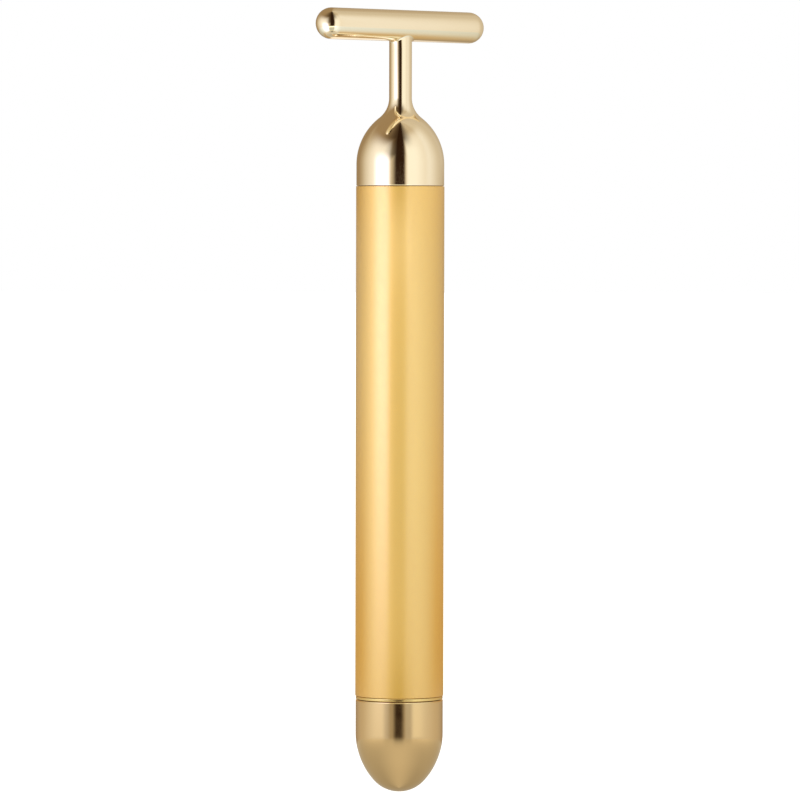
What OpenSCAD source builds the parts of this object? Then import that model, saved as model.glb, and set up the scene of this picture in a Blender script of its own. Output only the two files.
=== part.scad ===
// Battery-powered vibrating beauty bar: a T-shaped massage head on a slim round handle.
// The handle is a tube that holds one round cell and a small motor with an off-centre weight.
// The domed cap at the lower end screws into the tube: tight is on, a quarter turn back is off.
// Z runs along the handle, X along the cross bar, and the tip of the cap is at the origin.

/* [Cross bar] */
// Length of the cross bar over its round ends
bar_len = 42; // [36:1:50]
// Diameter of the cross bar
bar_d = 6.2; // [5.8:0.1:7.4]
// Height of the cross bar's centre line above the upper end of the barrel
bar_rise = 31.75; // [28:0.25:40]
// Radius of the blend where the neck runs into the cross bar
bar_blend = 0.7; // [0.4:0.1:1]

/* [Neck and dome] */
// Diameter of the neck
neck_d = 4.5; // [3.8:0.1:5]
// Radius of the hollow sweep from the neck down into the dome
neck_sweep = 5; // [3:0.5:6]
// Height of the dome's straight skirt
dome_skirt = 4.3; // [3:0.1:6]
// Radius of the dome's pointed arch
dome_arch = 11.7; // [11:0.1:14]
// Wall of the dome
dome_wall = 1.6; // [1.4:0.1:2]
// Height of the hollow in the dome above the upper end of the barrel
dome_core = 10; // [9:0.5:11]
// How far the dome stands in from the skin of the barrel
dome_step = 0.05; // [0:0.05:0.2]
// Length of the spigot that enters the barrel
spigot_len = 7; // [6:0.5:9]

/* [Barrel] */
// Outside diameter of the barrel
barrel_d = 17.5; // [17.3:0.1:19]
// Wall of the barrel
barrel_wall = 1.3; // [1.1:0.05:1.4]
// Length of the barrel
barrel_len = 101; // [99:1:120]
// Edge break on every rim that shows
edge_break = 0.15; // [0.1:0.05:0.25]

/* [Closing cap] */
// Height of the domed cap
cap_h = 18.4; // [17:0.1:24]
// Height of the cap's straight skirt
cap_skirt = 6.6; // [5:0.1:8]
// Radius of the cap's nose
cap_nose = 6.7; // [5.5:0.1:7.4]
// Wall of the cap
cap_wall = 1.65; // [1.4:0.05:2]
// How far the cap stands in from the skin of the barrel
cap_step = 0.08; // [0:0.02:0.2]
// Thickness of the bright flange between barrel and cap
flange_h = 0.75; // [0.5:0.05:1.5]
// How far the flange stands in from the skin of the barrel
flange_step = 0.11; // [0:0.01:0.2]

/* [Screw closure] */
// Pitch of the cap's thread
thread_pitch = 1.5; // [1:0.25:2]
// Turns of thread in mesh when the cap is tight
thread_turns = 3; // [2:0.5:4]
// Depth of the thread
thread_depth = 0.45; // [0.35:0.05:0.5]
// Length of the plain land that the cap's seal runs in
seal_land = 1.8; // [1.6:0.1:3]
// Length of the lead-in at the plug's upper end
plug_lead = 0.3; // [0.2:0.1:0.6]
// Depth of the plug's boss inside the cap
boss_len = 5.5; // [4.5:0.1:6.5]
// Diameter of the cup that holds the battery spring
cup_d = 12; // [11:0.1:12.4]
// Depth of the cup's floor below the lower end of the barrel
cup_drop = 1.65; // [1:0.05:2.5]
// Diameter of the pocket in the underside of the boss
pocket_d = 9; // [6:0.5:10]
// Thickness of metal between the cup's floor and the pocket
cup_floor = 2; // [1.2:0.1:2.2]

/* [Seals] */
// Thickness of the two sealing rings
seal_d = 0.66; // [0.5:0.02:0.7]
// Height of the head's seal below the upper end of the barrel
head_seal_drop = 2.2; // [1.5:0.1:4]

/* [Battery] */
// Diameter of the cell in its sleeve
battery_d = 14.2; // [13.7:0.1:14.4]
// Length of the cell over its positive button
battery_len = 50.5; // [49.2:0.1:50.5]
// Diameter of the positive button
button_d = 5.5; // [4.2:0.1:5.5]
// Height of the positive button
button_h = 1.3; // [1:0.1:1.6]
// Thickness of the printed sleeve round the cell
sleeve_wall = 0.15; // [0.1:0.05:0.25]
// Free space between the plug and the cell
battery_gap = 0.5; // [0.3:0.1:0.8]

/* [Battery spring] */
// Diameter of the spring's wire
spring_wire = 0.8; // [0.6:0.05:1]
// Turns of the spring
spring_turns = 4.5; // [3.5:0.5:5]
// Diameter of the lowest turn, at the middle of the wire
spring_base_d = 9.4; // [8.6:0.1:9.8]
// Diameter of the highest turn, at the middle of the wire
spring_tip_d = 6.4; // [5:0.1:8]

/* [Motor carrier] */
// Thickness of the carrier's floor above the positive contact
carrier_floor = 2; // [1.5:0.1:3]
// Thickness of the shelf under the motor
shelf_h = 2; // [1.5:0.1:3]
// Diameter of the opening in that shelf
shelf_d = 10; // [9:0.1:11]
// Wall of the carrier below the shelf
carrier_wall = 1.35; // [1:0.05:1.6]
// Width of the two wiring windows
window_w = 7; // [5:0.5:8]
// Height of the rim above and below each wiring window
window_rim = 1.5; // [1:0.25:3]

/* [Contacts and leads] */
// Thickness of the stamped contacts
contact_t = 0.4; // [0.3:0.05:0.5]
// Diameter of the positive contact
contact_d = 6.4; // [6:0.1:7]
// Depth of the dimple that meets the cell
dimple_h = 0.6; // [0.4:0.1:0.8]
// Width of the bowed clip that earths the motor to the barrel
clip_w = 3; // [2:0.1:4]
// Height of that clip
clip_h = 5; // [4.5:0.25:6]
// Diameter of the two leads
lead_d = 1; // [0.8:0.1:1.2]

/* [Motor] */
// Diameter of the motor
motor_d = 12; // [11:0.1:12.2]
// Length of the motor without its bosses
motor_len = 20; // [19:0.5:24]
// Depth of the motor's front face below the upper end of the barrel
motor_drop = 2.2; // [1.5:0.1:4]
// Wall of the motor's steel can
can_wall = 0.5; // [0.4:0.05:0.6]
// Height of the boss on the motor's front face
boss_h = 1.2; // [1:0.1:1.6]
// Diameter of the bearing bosses
boss_d = 4.8; // [4.4:0.1:5.2]
// Diameter of the motor's shaft
shaft_d = 1.5; // [1:0.1:2]
// Outside diameter of the bearing bushes
bush_d = 3.5; // [3:0.1:4]
// Thickness of the magnets
magnet_t = 1.15; // [0.9:0.05:1.3]
// Angle that each magnet covers
magnet_angle = 130; // [100:5:150]
// Air gap between the magnets and the rotor
air_gap = 0.35; // [0.25:0.05:0.5]
// Outside diameter of the commutator
commutator_d = 3.4; // [3:0.1:3.8]

/* [Off-centre weight] */
// Diameter of the weight
weight_d = 10; // [8:0.1:11]
// Height of the weight
weight_h = 6; // [4:0.25:7]
// Gap between the motor's front boss and the weight
weight_gap = 0.8; // [0.5:0.1:0.9]
// Diameter of the weight's hub
weight_hub_d = 3.4; // [3:0.1:4.5]

/* [Hidden] */
$fn = 96;

// Clearances, each named once
slip = 0.05;          // between a turned piece and the bore that it slides or turns in
seal_gap = 0.05;      // between a sealing ring and the wall or groove beside it
carrier_slip = 0.1;   // between the motor's carrier and the barrel
joint_gap = 0.1;      // between two pieces stacked on one another without load
bearing_slip = 0.02;  // between the shaft and its bushes
brush_slip = 0.03;    // between a brush and the commutator
slot_slip = 0.05;     // between a stamped tab and its slot
over = 1;             // how far a cutting shape runs past what it cuts

// Radii
barrel_r = barrel_d / 2;
bore_r = barrel_r - barrel_wall;
neck_r = neck_d / 2;
bar_r = bar_d / 2;
dome_r = barrel_r - dome_step;
cap_r = barrel_r - cap_step;
flange_r = barrel_r - flange_step;
spigot_r = bore_r - slip;
motor_r = motor_d / 2;
nest_r = motor_r + slot_slip;
shaft_r = shaft_d / 2;
bush_r = bush_d / 2;
land_r = bore_r + thread_depth + slip;
plug_land_r = land_r - slip;
plug_core_r = bore_r - slip;
cup_r = cup_d / 2;
boss_r = cap_r - cap_wall;
battery_r = battery_d / 2;
carrier_r = bore_r - carrier_slip;

// Levels along the handle, from the tip of the cap upwards
thread_len = thread_pitch * thread_turns;
plug_in = seal_land + thread_len + plug_lead;
z_barrel = cap_h + flange_h;
z_top = z_barrel + barrel_len;
z_bar = z_top + bar_rise;
z_plug_top = z_barrel + plug_in;
z_battery = z_plug_top + battery_gap;
z_button = z_battery + battery_len;
z_shoulder = z_button - button_h;
z_contact = z_button + dimple_h;
z_carrier = z_shoulder + 3 * joint_gap;
z_floor = z_contact + contact_t + carrier_floor;
z_spigot = z_top - spigot_len;
z_motor_face = z_top - motor_drop;
z_motor = z_motor_face - motor_len;
z_weight = z_motor_face + boss_h + weight_gap;

// Sealing rings: a ring's middle radius and its groove follow from the wall that it seals against
groove_w = seal_d + 4 * seal_gap;
function ring_r(wall_r) = wall_r - seal_gap - seal_d / 2;
function groove_r(wall_r) = wall_r - 2 * seal_gap - seal_d;
plug_groove_z = (seal_land - groove_w) / 2;

// Dome: a pointed arch that a hollow sweep joins to the neck, tangent at both ends
arch_x = dome_r - dome_arch;
sweep_x = neck_r + neck_sweep;
sweep_z = dome_skirt + sqrt(pow(dome_arch + neck_sweep, 2) - pow(sweep_x - arch_x, 2));
meet = dome_arch / (dome_arch + neck_sweep);
meet_x = arch_x + meet * (sweep_x - arch_x);
meet_z = dome_skirt + meet * (sweep_z - dome_skirt);

// Cap: a round nose and a side arch, tangent where they meet
cap_arch_h = cap_h - cap_skirt;
side_arch = (pow(cap_r, 2) + pow(cap_arch_h - cap_nose, 2) - pow(cap_nose, 2)) / (2 * (cap_r - cap_nose));
side_x = cap_r - side_arch;
nose_turn = atan2(cap_arch_h - cap_nose, -side_x);

// Inside the motor, levels above its rear face
bell_flange = 1.2;
bell_h = 3;
rear_boss = 1;
boss_end = 0.5;
washer_t = 0.4;
hub_z = bell_h + washer_t + 2 * joint_gap;
hub_h = 3;
core_rear_gap = 0.8;
core_front_gap = 4.6;
core_z = hub_z + hub_h + core_rear_gap;
core_h = motor_len - core_z - core_front_gap;
end_turn = 0.8;
magnet_over = 0.9;
front_bush_len = 2.4;
front_bush_z = motor_len + boss_h - front_bush_len;
tab_len = 3;
tab_t = 0.3;
tab_w = 1.6;
brush_w = 0.6;
brush_h = 1;
magnet_r = motor_r - can_wall;
core_r = magnet_r - magnet_t - air_gap;
commutator_r = commutator_d / 2;
tab_x = (commutator_r + magnet_r) / 2;
pole_count = 3;
pole_w = 1.4;
shoe_t = 0.8;
shoe_half_angle = 48;
core_hub_wall = 1.2;
core_hub_r = shaft_r + core_hub_wall;
coil_gap = 0.05;
coil_half_w = 1.9;
segment_gap_angle = 10;
segment_t = 0.6;
spacer_step = 0.3;

// Helpers

function unit(v) = v / norm(v);

// Rings of points round a path. side is a direction that the path never runs along.
function tube_points(path, d, sides, side) = [
    for (i = [0 : len(path) - 1])
        let (
            t = unit(path[min(i + 1, len(path) - 1)] - path[max(i - 1, 0)]),
            u = unit(cross(t, side)),
            v = cross(u, t)
        )
        for (k = [0 : sides - 1])
            path[i] + d / 2 * (cos(360 * k / sides) * u + sin(360 * k / sides) * v)
];

// Triangles of a closed tube with flat ends
function tube_faces(rings, sides) = concat(
    [for (k = [1 : sides - 2]) [0, k + 1, k]],
    [
        for (i = [0 : rings - 2], k = [0 : sides - 1], half = [0, 1])
            let (
                a = i * sides + k,
                b = i * sides + (k + 1) % sides,
                c = b + sides,
                d = a + sides
            )
            half == 0 ? [a, b, c] : [a, c, d]
    ],
    [for (k = [1 : sides - 2]) (rings - 1) * sides * [1, 1, 1] + [0, k, k + 1]]
);

module tube(path, d, sides, side) {
    polyhedron(tube_points(path, d, sides, side), tube_faces(len(path), sides));
}

module ring(r_out, r_in, h) {
    difference() {
        cylinder(r = r_out, h = h);
        translate([0, 0, -over]) cylinder(r = r_in, h = h + 2 * over);
    }
}

module seal_ring(r_mid) {
    rotate_extrude() translate([r_mid, 0]) circle(d = seal_d);
}

// A window with round corners, cut along Y from the axis outwards both ways
module window(w, h, corner, reach) {
    rotate([90, 0, 0]) linear_extrude(2 * reach, center = true) {
        square([w, h - 2 * corner], center = true);
        square([w - 2 * corner, h], center = true);
        for (x = [-1, 1], z = [-1, 1]) translate([x * (w / 2 - corner), z * (h / 2 - corner)])
            circle(r = corner);
    }
}

// A strip of sheet metal bent through a list of points, seen from its edge
module bent_strip(points, t) {
    for (i = [0 : len(points) - 2]) {
        run = points[i + 1] - points[i];
        translate(points[i]) rotate(atan2(run[1], run[0])) translate([0, -t / 2]) square([norm(run), t]);
    }
    for (p = points) translate(p) circle(d = t);
}

// A wedge that opens along +X, for cutting sectors out of round shapes
module wedge(half_angle, r) {
    polygon([
        [0, 0],
        [r, -r * tan(half_angle)],
        [r, r * tan(half_angle)]
    ]);
}

// Massage head: cross bar, neck, dome and spigot in one casting

module dome_profile() {
    square([dome_r, dome_skirt]);
    intersection() {
        translate([arch_x, dome_skirt]) circle(r = dome_arch);
        square([dome_r, meet_z]);
    }
    difference() {
        square([meet_x, sweep_z]);
        translate([sweep_x, sweep_z]) circle(r = neck_sweep);
    }
    square([neck_r, bar_rise]);
}

module head_core_profile() {
    translate([0, -spigot_len - over]) square([nest_r, spigot_len + over + dome_skirt]);
    intersection() {
        translate([arch_x, dome_skirt]) circle(r = dome_arch - dome_wall);
        translate([0, dome_skirt]) square([nest_r, dome_core - dome_skirt]);
    }
}

// Blend between neck and cross bar. Each row of points runs round the neck. The rows follow a
// curve that leaves the neck, heads for the corner and ends along the underside of the bar.
blend_rows = 5;
blend_sides = 48;
blend_bite = 0.03;

function bar_under(y) = -sqrt(pow(bar_r, 2) - pow(y, 2));
function blend_point(turn, step) =
    let (
        y = neck_r * sin(turn),
        slope = atan2(y * sin(turn), sqrt(pow(bar_r, 2) - pow(y, 2))),
        reach = bar_blend / tan((90 + slope) / 2),
        out = neck_r + reach * cos(slope),
        low = [neck_r - blend_bite, bar_under(y) - reach],
        corner = [neck_r, bar_under(y)],
        high = [out, bar_under(out * sin(turn)) + blend_bite],
        s = step / blend_rows,
        p = (1 - s) * (1 - s) * low + 2 * s * (1 - s) * corner + s * s * high
    )
    [p[0] * cos(turn), p[0] * sin(turn), p[1]];

module bar_blend_skin() {
    rows = [
        for (j = [0 : blend_rows], k = [0 : blend_sides - 1]) blend_point(360 * k / blend_sides, j)
    ];
    low = len(rows);
    high = low + 1;
    top = blend_rows * blend_sides;
    polyhedron(
        concat(rows, [[0, 0, -bar_r - bar_blend / 2], [0, 0, 0]]),
        concat(
            [for (k = [0 : blend_sides - 1]) [low, k, (k + 1) % blend_sides]],
            [
                for (j = [0 : blend_rows - 1], k = [0 : blend_sides - 1], half = [0, 1])
                    let (
                        a = j * blend_sides + k,
                        b = j * blend_sides + (k + 1) % blend_sides,
                        c = b + blend_sides,
                        d = a + blend_sides
                    )
                    half == 0 ? [a, c, b] : [a, d, c]
            ],
            [for (k = [0 : blend_sides - 1]) [high, top + (k + 1) % blend_sides, top + k]]
        )
    );
}

module cross_bar() {
    reach = bar_len / 2 - bar_r;
    rotate([0, 90, 0]) cylinder(r = bar_r, h = 2 * reach, center = true);
    for (end = [-1, 1]) translate([end * reach, 0, 0]) sphere(r = bar_r);
}

module massage_head() {
    color("gold") difference() {
        union() {
            translate([0, 0, z_top]) rotate_extrude() difference() {
                dome_profile();
                translate([dome_r, 0]) rotate(45) square(sqrt(2) * edge_break, center = true);
            }
            translate([0, 0, z_bar]) {
                cross_bar();
                bar_blend_skin();
            }
            translate([0, 0, z_spigot]) cylinder(r = spigot_r, h = spigot_len);
        }
        translate([0, 0, z_top]) rotate_extrude() head_core_profile();
        translate([0, 0, z_top - head_seal_drop - groove_w / 2])
            ring(bore_r + over, groove_r(bore_r), groove_w);
    }
}

module head_seal() {
    color("black") translate([0, 0, z_top - head_seal_drop]) seal_ring(ring_r(bore_r));
}

// Barrel: a plain tube with a wider land at its mouth for the cap's seal

module barrel() {
    color("goldenrod") translate([0, 0, z_barrel]) rotate_extrude() polygon([
        [land_r, 0],
        [barrel_r - edge_break, 0],
        [barrel_r, edge_break],
        [barrel_r, barrel_len - edge_break],
        [barrel_r - edge_break, barrel_len],
        [bore_r, barrel_len],
        [bore_r, seal_land],
        [land_r, seal_land]
    ]);
}

// Closing cap and the metal plug that screws into the barrel

module cap_profile(inset) {
    nose = cap_nose - inset;
    nose_z = cap_nose - nose * sin(nose_turn);
    intersection() {
        translate([side_x, cap_arch_h]) circle(r = side_arch - inset);
        translate([0, nose_z]) square([cap_r, cap_arch_h - nose_z]);
    }
    intersection() {
        translate([0, cap_nose]) circle(r = nose);
        square([nose * cos(nose_turn), cap_nose]);
    }
}

module end_cap() {
    ledge_z = cap_h - boss_len - joint_gap;
    color("darkkhaki") rotate_extrude() difference() {
        union() {
            cap_profile(0);
            translate([0, cap_arch_h]) polygon([
                [0, 0],
                [cap_r, 0],
                [cap_r, cap_skirt - edge_break],
                [cap_r - edge_break, cap_skirt],
                [0, cap_skirt]
            ]);
        }
        translate([0, ledge_z]) square([boss_r, boss_len + joint_gap + over]);
        intersection() {
            union() {
                cap_profile(cap_wall);
                translate([0, cap_arch_h]) square([cap_r - cap_wall, cap_skirt]);
            }
            square([pocket_d / 2, ledge_z + over]);
        }
    }
}

module cap_plug() {
    floor_z = -cup_drop;
    boss_z = -flange_h - boss_len;
    seat_r = (spring_base_d - spring_wire) / 2 - 2 * joint_gap;
    color("gold") translate([0, 0, z_barrel]) rotate_extrude() polygon([
        [0, floor_z - cup_floor],
        [pocket_d / 2, floor_z - cup_floor],
        [pocket_d / 2, boss_z],
        [boss_r - edge_break, boss_z],
        [boss_r, boss_z + edge_break],
        [boss_r, -flange_h],
        [flange_r - edge_break, -flange_h],
        [flange_r, edge_break - flange_h],
        [flange_r, -edge_break],
        [flange_r - edge_break, 0],
        [plug_land_r, 0],
        [plug_land_r, plug_groove_z],
        [groove_r(land_r), plug_groove_z],
        [groove_r(land_r), plug_groove_z + groove_w],
        [plug_land_r, plug_groove_z + groove_w],
        [plug_land_r, seal_land - joint_gap],
        [plug_core_r, seal_land - joint_gap],
        [plug_core_r, plug_in - plug_lead],
        [plug_core_r - plug_lead, plug_in],
        [cup_r, plug_in],
        [cup_r, floor_z],
        [seat_r, floor_z],
        [seat_r - spring_wire / 2, floor_z + spring_wire],
        [0, floor_z + spring_wire]
    ]);
}

module cap_seal() {
    color("black") translate([0, 0, z_barrel + seal_land / 2]) seal_ring(ring_r(land_r));
}

// Battery spring: one unbroken wire that narrows upwards, with its first and last half turn flat
spring_step = 16;
spring_sides = 6;
spring_z = z_barrel - cup_drop;
spring_rise = z_battery - spring_z - spring_wire;
flat_turns = 0.5;

function spring_level(t) = spring_rise * max(0, min(1, (t - flat_turns) / (spring_turns - 2 * flat_turns)));
function spring_point(t) =
    let (r = (spring_base_d + (spring_tip_d - spring_base_d) * t / spring_turns) / 2)
    [r * cos(360 * t), r * sin(360 * t), spring_z + spring_wire / 2 + spring_level(t)];

spring_turning = [for (i = [0 : spring_turns * spring_step]) spring_point(i / spring_step)];
spring_last = len(spring_turning) - 1;
spring_path = concat(
    [spring_turning[0] - spring_wire * unit(spring_turning[1] - spring_turning[0])],
    spring_turning,
    [spring_turning[spring_last] + spring_wire * unit(spring_turning[spring_last] - spring_turning[spring_last - 1])]
);
spring_least_gap = min([
    for (i = [0 : len(spring_path) - 1], j = [i + spring_step / 2 : len(spring_path) - 1])
        norm(spring_path[i] - spring_path[j])
]) - spring_wire;
echo(str("least gap between turns of the battery spring: ", spring_least_gap, " mm"));

module battery_spring() {
    color("silver") tube(spring_path, spring_wire, spring_sides, [0, 0, 1]);
}

// Battery

can_r = battery_r - sleeve_wall;
lip_w = 1.2;
end_disc_r = can_r - 2;
end_disc_h = 0.3;

module battery_cell() {
    can_h = battery_len - button_h - sleeve_wall;
    color("silver") translate([0, 0, z_battery]) rotate_extrude() polygon([
        [0, 0],
        [end_disc_r, 0],
        [end_disc_r, end_disc_h],
        [can_r, end_disc_h],
        [can_r, can_h],
        [can_r - lip_w, can_h],
        [can_r - lip_w - end_disc_h, can_h - end_disc_h],
        [button_d / 2, can_h - end_disc_h],
        [button_d / 2, battery_len - end_disc_h],
        [button_d / 2 - end_disc_h, battery_len],
        [0, battery_len]
    ]);
}

module battery_sleeve() {
    sleeve_h = battery_len - button_h;
    color("slategray") translate([0, 0, z_battery]) rotate_extrude() polygon([
        [can_r - lip_w, end_disc_h - sleeve_wall],
        [battery_r, end_disc_h - sleeve_wall],
        [battery_r, sleeve_h],
        [can_r - lip_w, sleeve_h],
        [can_r - lip_w, sleeve_h - sleeve_wall],
        [can_r, sleeve_h - sleeve_wall],
        [can_r, end_disc_h],
        [can_r - lip_w, end_disc_h]
    ]);
}

// Carrier: the moulding between cell and head that nests the motor and holds the contacts

contact_r = contact_d / 2;
contact_tab_in = 0.8;
contact_tab_x = contact_r - contact_tab_in;
contact_tab_w = 1.6;
tab_rise = 1.2;
nest_z = z_motor - shelf_h;
hollow_r = carrier_r - carrier_wall;
window_z = (z_floor + nest_z) / 2;
window_h = nest_z - z_floor - 2 * window_rim;
window_corner = 1.5;
clip_reach = sqrt(pow(bore_r - slip, 2) - pow(clip_w / 2, 2)) - contact_t / 2;
clip_foot_x = sqrt(pow(hollow_r - joint_gap, 2) - pow(clip_w / 2, 2)) - contact_t / 2;
clip_foot_h = 1;
clip_z = nest_z - 3 * joint_gap - clip_h;
clip_slot_foot = clip_foot_h - contact_t;

module motor_carrier() {
    color("whitesmoke") difference() {
        translate([0, 0, z_carrier]) cylinder(r = carrier_r, h = z_spigot - joint_gap - z_carrier);
        translate([0, 0, z_motor]) cylinder(r = nest_r, h = motor_len);
        translate([0, 0, nest_z - over]) cylinder(d = shelf_d, h = shelf_h + 2 * over);
        translate([0, 0, z_floor]) cylinder(r = hollow_r, h = nest_z - z_floor);
        translate([0, 0, z_carrier - over])
            cylinder(r = contact_r + joint_gap, h = z_contact + contact_t - z_carrier + over);
        translate([
            contact_tab_x - contact_t / 2 - slot_slip,
            -contact_tab_w / 2 - slot_slip,
            z_contact
        ])
            cube([contact_t + 2 * slot_slip, contact_tab_w + 2 * slot_slip, z_floor + over - z_contact]);
        translate([0, 0, window_z]) window(window_w, window_h, window_corner, carrier_r + over);
        translate([-carrier_r - over, -clip_w / 2 - slot_slip, clip_z + clip_slot_foot])
            cube([carrier_r + over - hollow_r + over, clip_w + 2 * slot_slip, clip_h - 2 * clip_slot_foot]);
    }
}

module positive_contact() {
    dimple_rim = 1.3;
    dimple_slope = 0.9;
    dimple_top = contact_r - dimple_rim;
    dimple_tip = dimple_top - dimple_slope;
    color("goldenrod") {
        translate([0, 0, z_button]) rotate_extrude() polygon([
            [0, 0],
            [dimple_tip, 0],
            [dimple_top, dimple_h],
            [contact_r, dimple_h],
            [contact_r, dimple_h + contact_t],
            [dimple_top - contact_t / 3, dimple_h + contact_t],
            [dimple_tip - contact_t / 3, contact_t],
            [0, contact_t]
        ]);
        translate([contact_tab_x - contact_t / 2, -contact_tab_w / 2, z_contact])
            cube([contact_t, contact_tab_w, z_floor + tab_rise - z_contact]);
    }
}

// Clip bowed through its slot in the carrier until it meets the bore of the barrel
module earth_clip() {
    bow = clip_h / 3;
    color("darkgoldenrod") rotate([90, 0, 0]) linear_extrude(clip_w, center = true) bent_strip([
        [-clip_foot_x, clip_z + contact_t / 2],
        [-clip_foot_x, clip_z + clip_foot_h],
        [-clip_reach, clip_z + bow],
        [-clip_reach, clip_z + clip_h - bow],
        [-clip_foot_x, clip_z + clip_h - clip_foot_h],
        [-clip_foot_x, clip_z + clip_h - contact_t / 2]
    ], contact_t);
}

// Leads: one rises to its terminal in a smooth S, the other turns from its terminal into the clip
lead_rings = 12;
lead_sides = 8;
lead_bend = 1;

function rising_path(x_low, z_low, x_high, z_high) = concat(
    [[x_low, 0, z_low]],
    [
        for (i = [0 : lead_rings])
            let (s = i / lead_rings, rise = z_high - z_low - 2 * lead_d)
            [x_low + (x_high - x_low) * (1 - cos(180 * s)) / 2, 0, z_low + lead_d + rise * s]
    ],
    [[x_high, 0, z_high]]
);

function turning_path(x_from, z_from, x_to, z_to) = concat(
    [[x_from, 0, z_from]],
    [
        for (i = [0 : lead_rings])
            let (turn = 90 * i / lead_rings)
            [
                x_from - lead_bend * (1 - cos(turn)),
                0,
                z_to + lead_bend * (1 - sin(turn))
            ]
    ],
    [[x_to, 0, z_to]]
);

module positive_lead() {
    color("red") tube(
        rising_path(contact_tab_x, z_floor + tab_rise, tab_x, z_motor - tab_len),
        lead_d, lead_sides, [0, 1, 0]
    );
}

module negative_lead() {
    color("dimgray") tube(
        turning_path(-tab_x, z_motor - tab_len, contact_t / 2 - clip_foot_x, clip_z + clip_foot_h / 2),
        lead_d, lead_sides, [0, 1, 0]
    );
}

// Motor, fixed pieces

module motor_can() {
    color("lightgray") translate([0, 0, z_motor]) difference() {
        union() {
            translate([0, 0, bell_flange]) cylinder(r = motor_r, h = motor_len - bell_flange);
            translate([0, 0, motor_len]) cylinder(d = boss_d, h = boss_h);
        }
        translate([0, 0, bell_flange - over])
            cylinder(r = magnet_r, h = motor_len - bell_flange + over - can_wall);
        cylinder(r = bush_r, h = motor_len + boss_h + over);
    }
}

module motor_end_bell() {
    color("ivory") translate([0, 0, z_motor]) difference() {
        union() {
            translate([0, 0, -rear_boss]) cylinder(d = boss_d, h = rear_boss + bell_h);
            cylinder(r = motor_r, h = bell_flange);
            cylinder(r = magnet_r, h = bell_h);
        }
        translate([0, 0, boss_end - rear_boss]) cylinder(r = bush_r, h = rear_boss + bell_h);
        for (side = [-1, 1]) translate([
            side * tab_x - tab_t / 2 - slot_slip,
            -tab_w / 2 - slot_slip,
            -over
        ])
            cube([tab_t + 2 * slot_slip, tab_w + 2 * slot_slip, bell_h + 2 * over]);
    }
}

module motor_magnets() {
    color("dimgray") translate([0, 0, z_motor + core_z - magnet_over]) for (side = [0, 180])
        rotate(side - magnet_angle / 2) rotate_extrude(angle = magnet_angle)
            translate([magnet_r - magnet_t, 0]) square([magnet_t, core_h + 2 * magnet_over]);
}

module bush(h) {
    color("peru") ring(bush_r, shaft_r + bearing_slip, h);
}

module front_bush() {
    translate([0, 0, z_motor + front_bush_z]) bush(front_bush_len);
}

module rear_bush() {
    translate([0, 0, z_motor + boss_end - rear_boss]) bush(rear_boss - boss_end + bell_h);
}

// Terminal tab, spring arm and brush in one stamping, mirrored for the other pole
module brush(side) {
    arm_z = hub_z + hub_h - 3 * tab_t;
    tip_x = commutator_r + brush_slip;
    color("goldenrod") translate([0, 0, z_motor]) scale([side, 1, 1]) rotate([90, 0, 0])
        linear_extrude(tab_w, center = true) {
            translate([tab_x - tab_t / 2, -tab_len]) square([tab_t, tab_len + arm_z + tab_t]);
            translate([tip_x, arm_z]) square([tab_x - tip_x, tab_t]);
            translate([tip_x, arm_z + tab_t - brush_h]) square([brush_w, brush_h]);
        }
}

module positive_brush() {
    brush(1);
}

module negative_brush() {
    brush(-1);
}

// Motor, turning pieces

module motor_shaft() {
    low = boss_end - rear_boss + 2 * joint_gap;
    z_end = z_weight + weight_h + over;
    color("silver") translate([0, 0, z_motor + low]) cylinder(r = shaft_r, h = z_end - z_motor - low);
}

module rotor_core() {
    color("gray") translate([0, 0, z_motor + core_z]) linear_extrude(core_h) difference() {
        union() {
            circle(r = core_hub_r);
            for (pole = [0 : pole_count - 1]) rotate(360 * pole / pole_count) {
                translate([0, -pole_w / 2]) square([core_r - shoe_t / 2, pole_w]);
                intersection() {
                    difference() {
                        circle(r = core_r);
                        circle(r = core_r - shoe_t);
                    }
                    wedge(shoe_half_angle, 2 * core_r);
                }
            }
        }
        circle(r = shaft_r);
    }
}

module rotor_windings() {
    color("orangered") translate([0, 0, z_motor + core_z - end_turn])
        for (pole = [0 : pole_count - 1]) rotate(360 * pole / pole_count) difference() {
            linear_extrude(core_h + 2 * end_turn) intersection() {
                circle(r = core_r - shoe_t - coil_gap);
                translate([core_hub_r + coil_gap, -coil_half_w]) square([core_r, 2 * coil_half_w]);
            }
            translate([0, -pole_w / 2, end_turn]) cube([core_r, pole_w, core_h]);
        }
}

module commutator_hub() {
    color("saddlebrown") translate([0, 0, z_motor + hub_z]) ring(commutator_r - segment_t, shaft_r, hub_h);
}

module commutator_segments() {
    segment_h = hub_h - 2 * joint_gap;
    sweep = 360 / pole_count - segment_gap_angle;
    color("darkorange") translate([0, 0, z_motor + hub_z + joint_gap]) for (pole = [0 : pole_count - 1])
        rotate(360 * pole / pole_count) rotate_extrude(angle = sweep)
            translate([commutator_r - segment_t, 0]) square([segment_t, segment_h]);
}

module shaft_spacers() {
    spacer_r = bush_r - spacer_step;
    sleeve_z = core_z + core_h;
    color("white") translate([0, 0, z_motor]) {
        translate([0, 0, bell_h + joint_gap]) ring(spacer_r, shaft_r, washer_t);
        translate([0, 0, sleeve_z]) ring(spacer_r, shaft_r, front_bush_z - joint_gap - sleeve_z);
    }
}

module eccentric_weight() {
    color("darkgoldenrod") translate([0, 0, z_weight]) linear_extrude(weight_h) difference() {
        union() {
            intersection() {
                circle(d = weight_d);
                translate([-weight_d / 2, -weight_d]) square([weight_d, weight_d]);
            }
            circle(d = weight_hub_d);
        }
        circle(r = shaft_r);
    }
}

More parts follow.
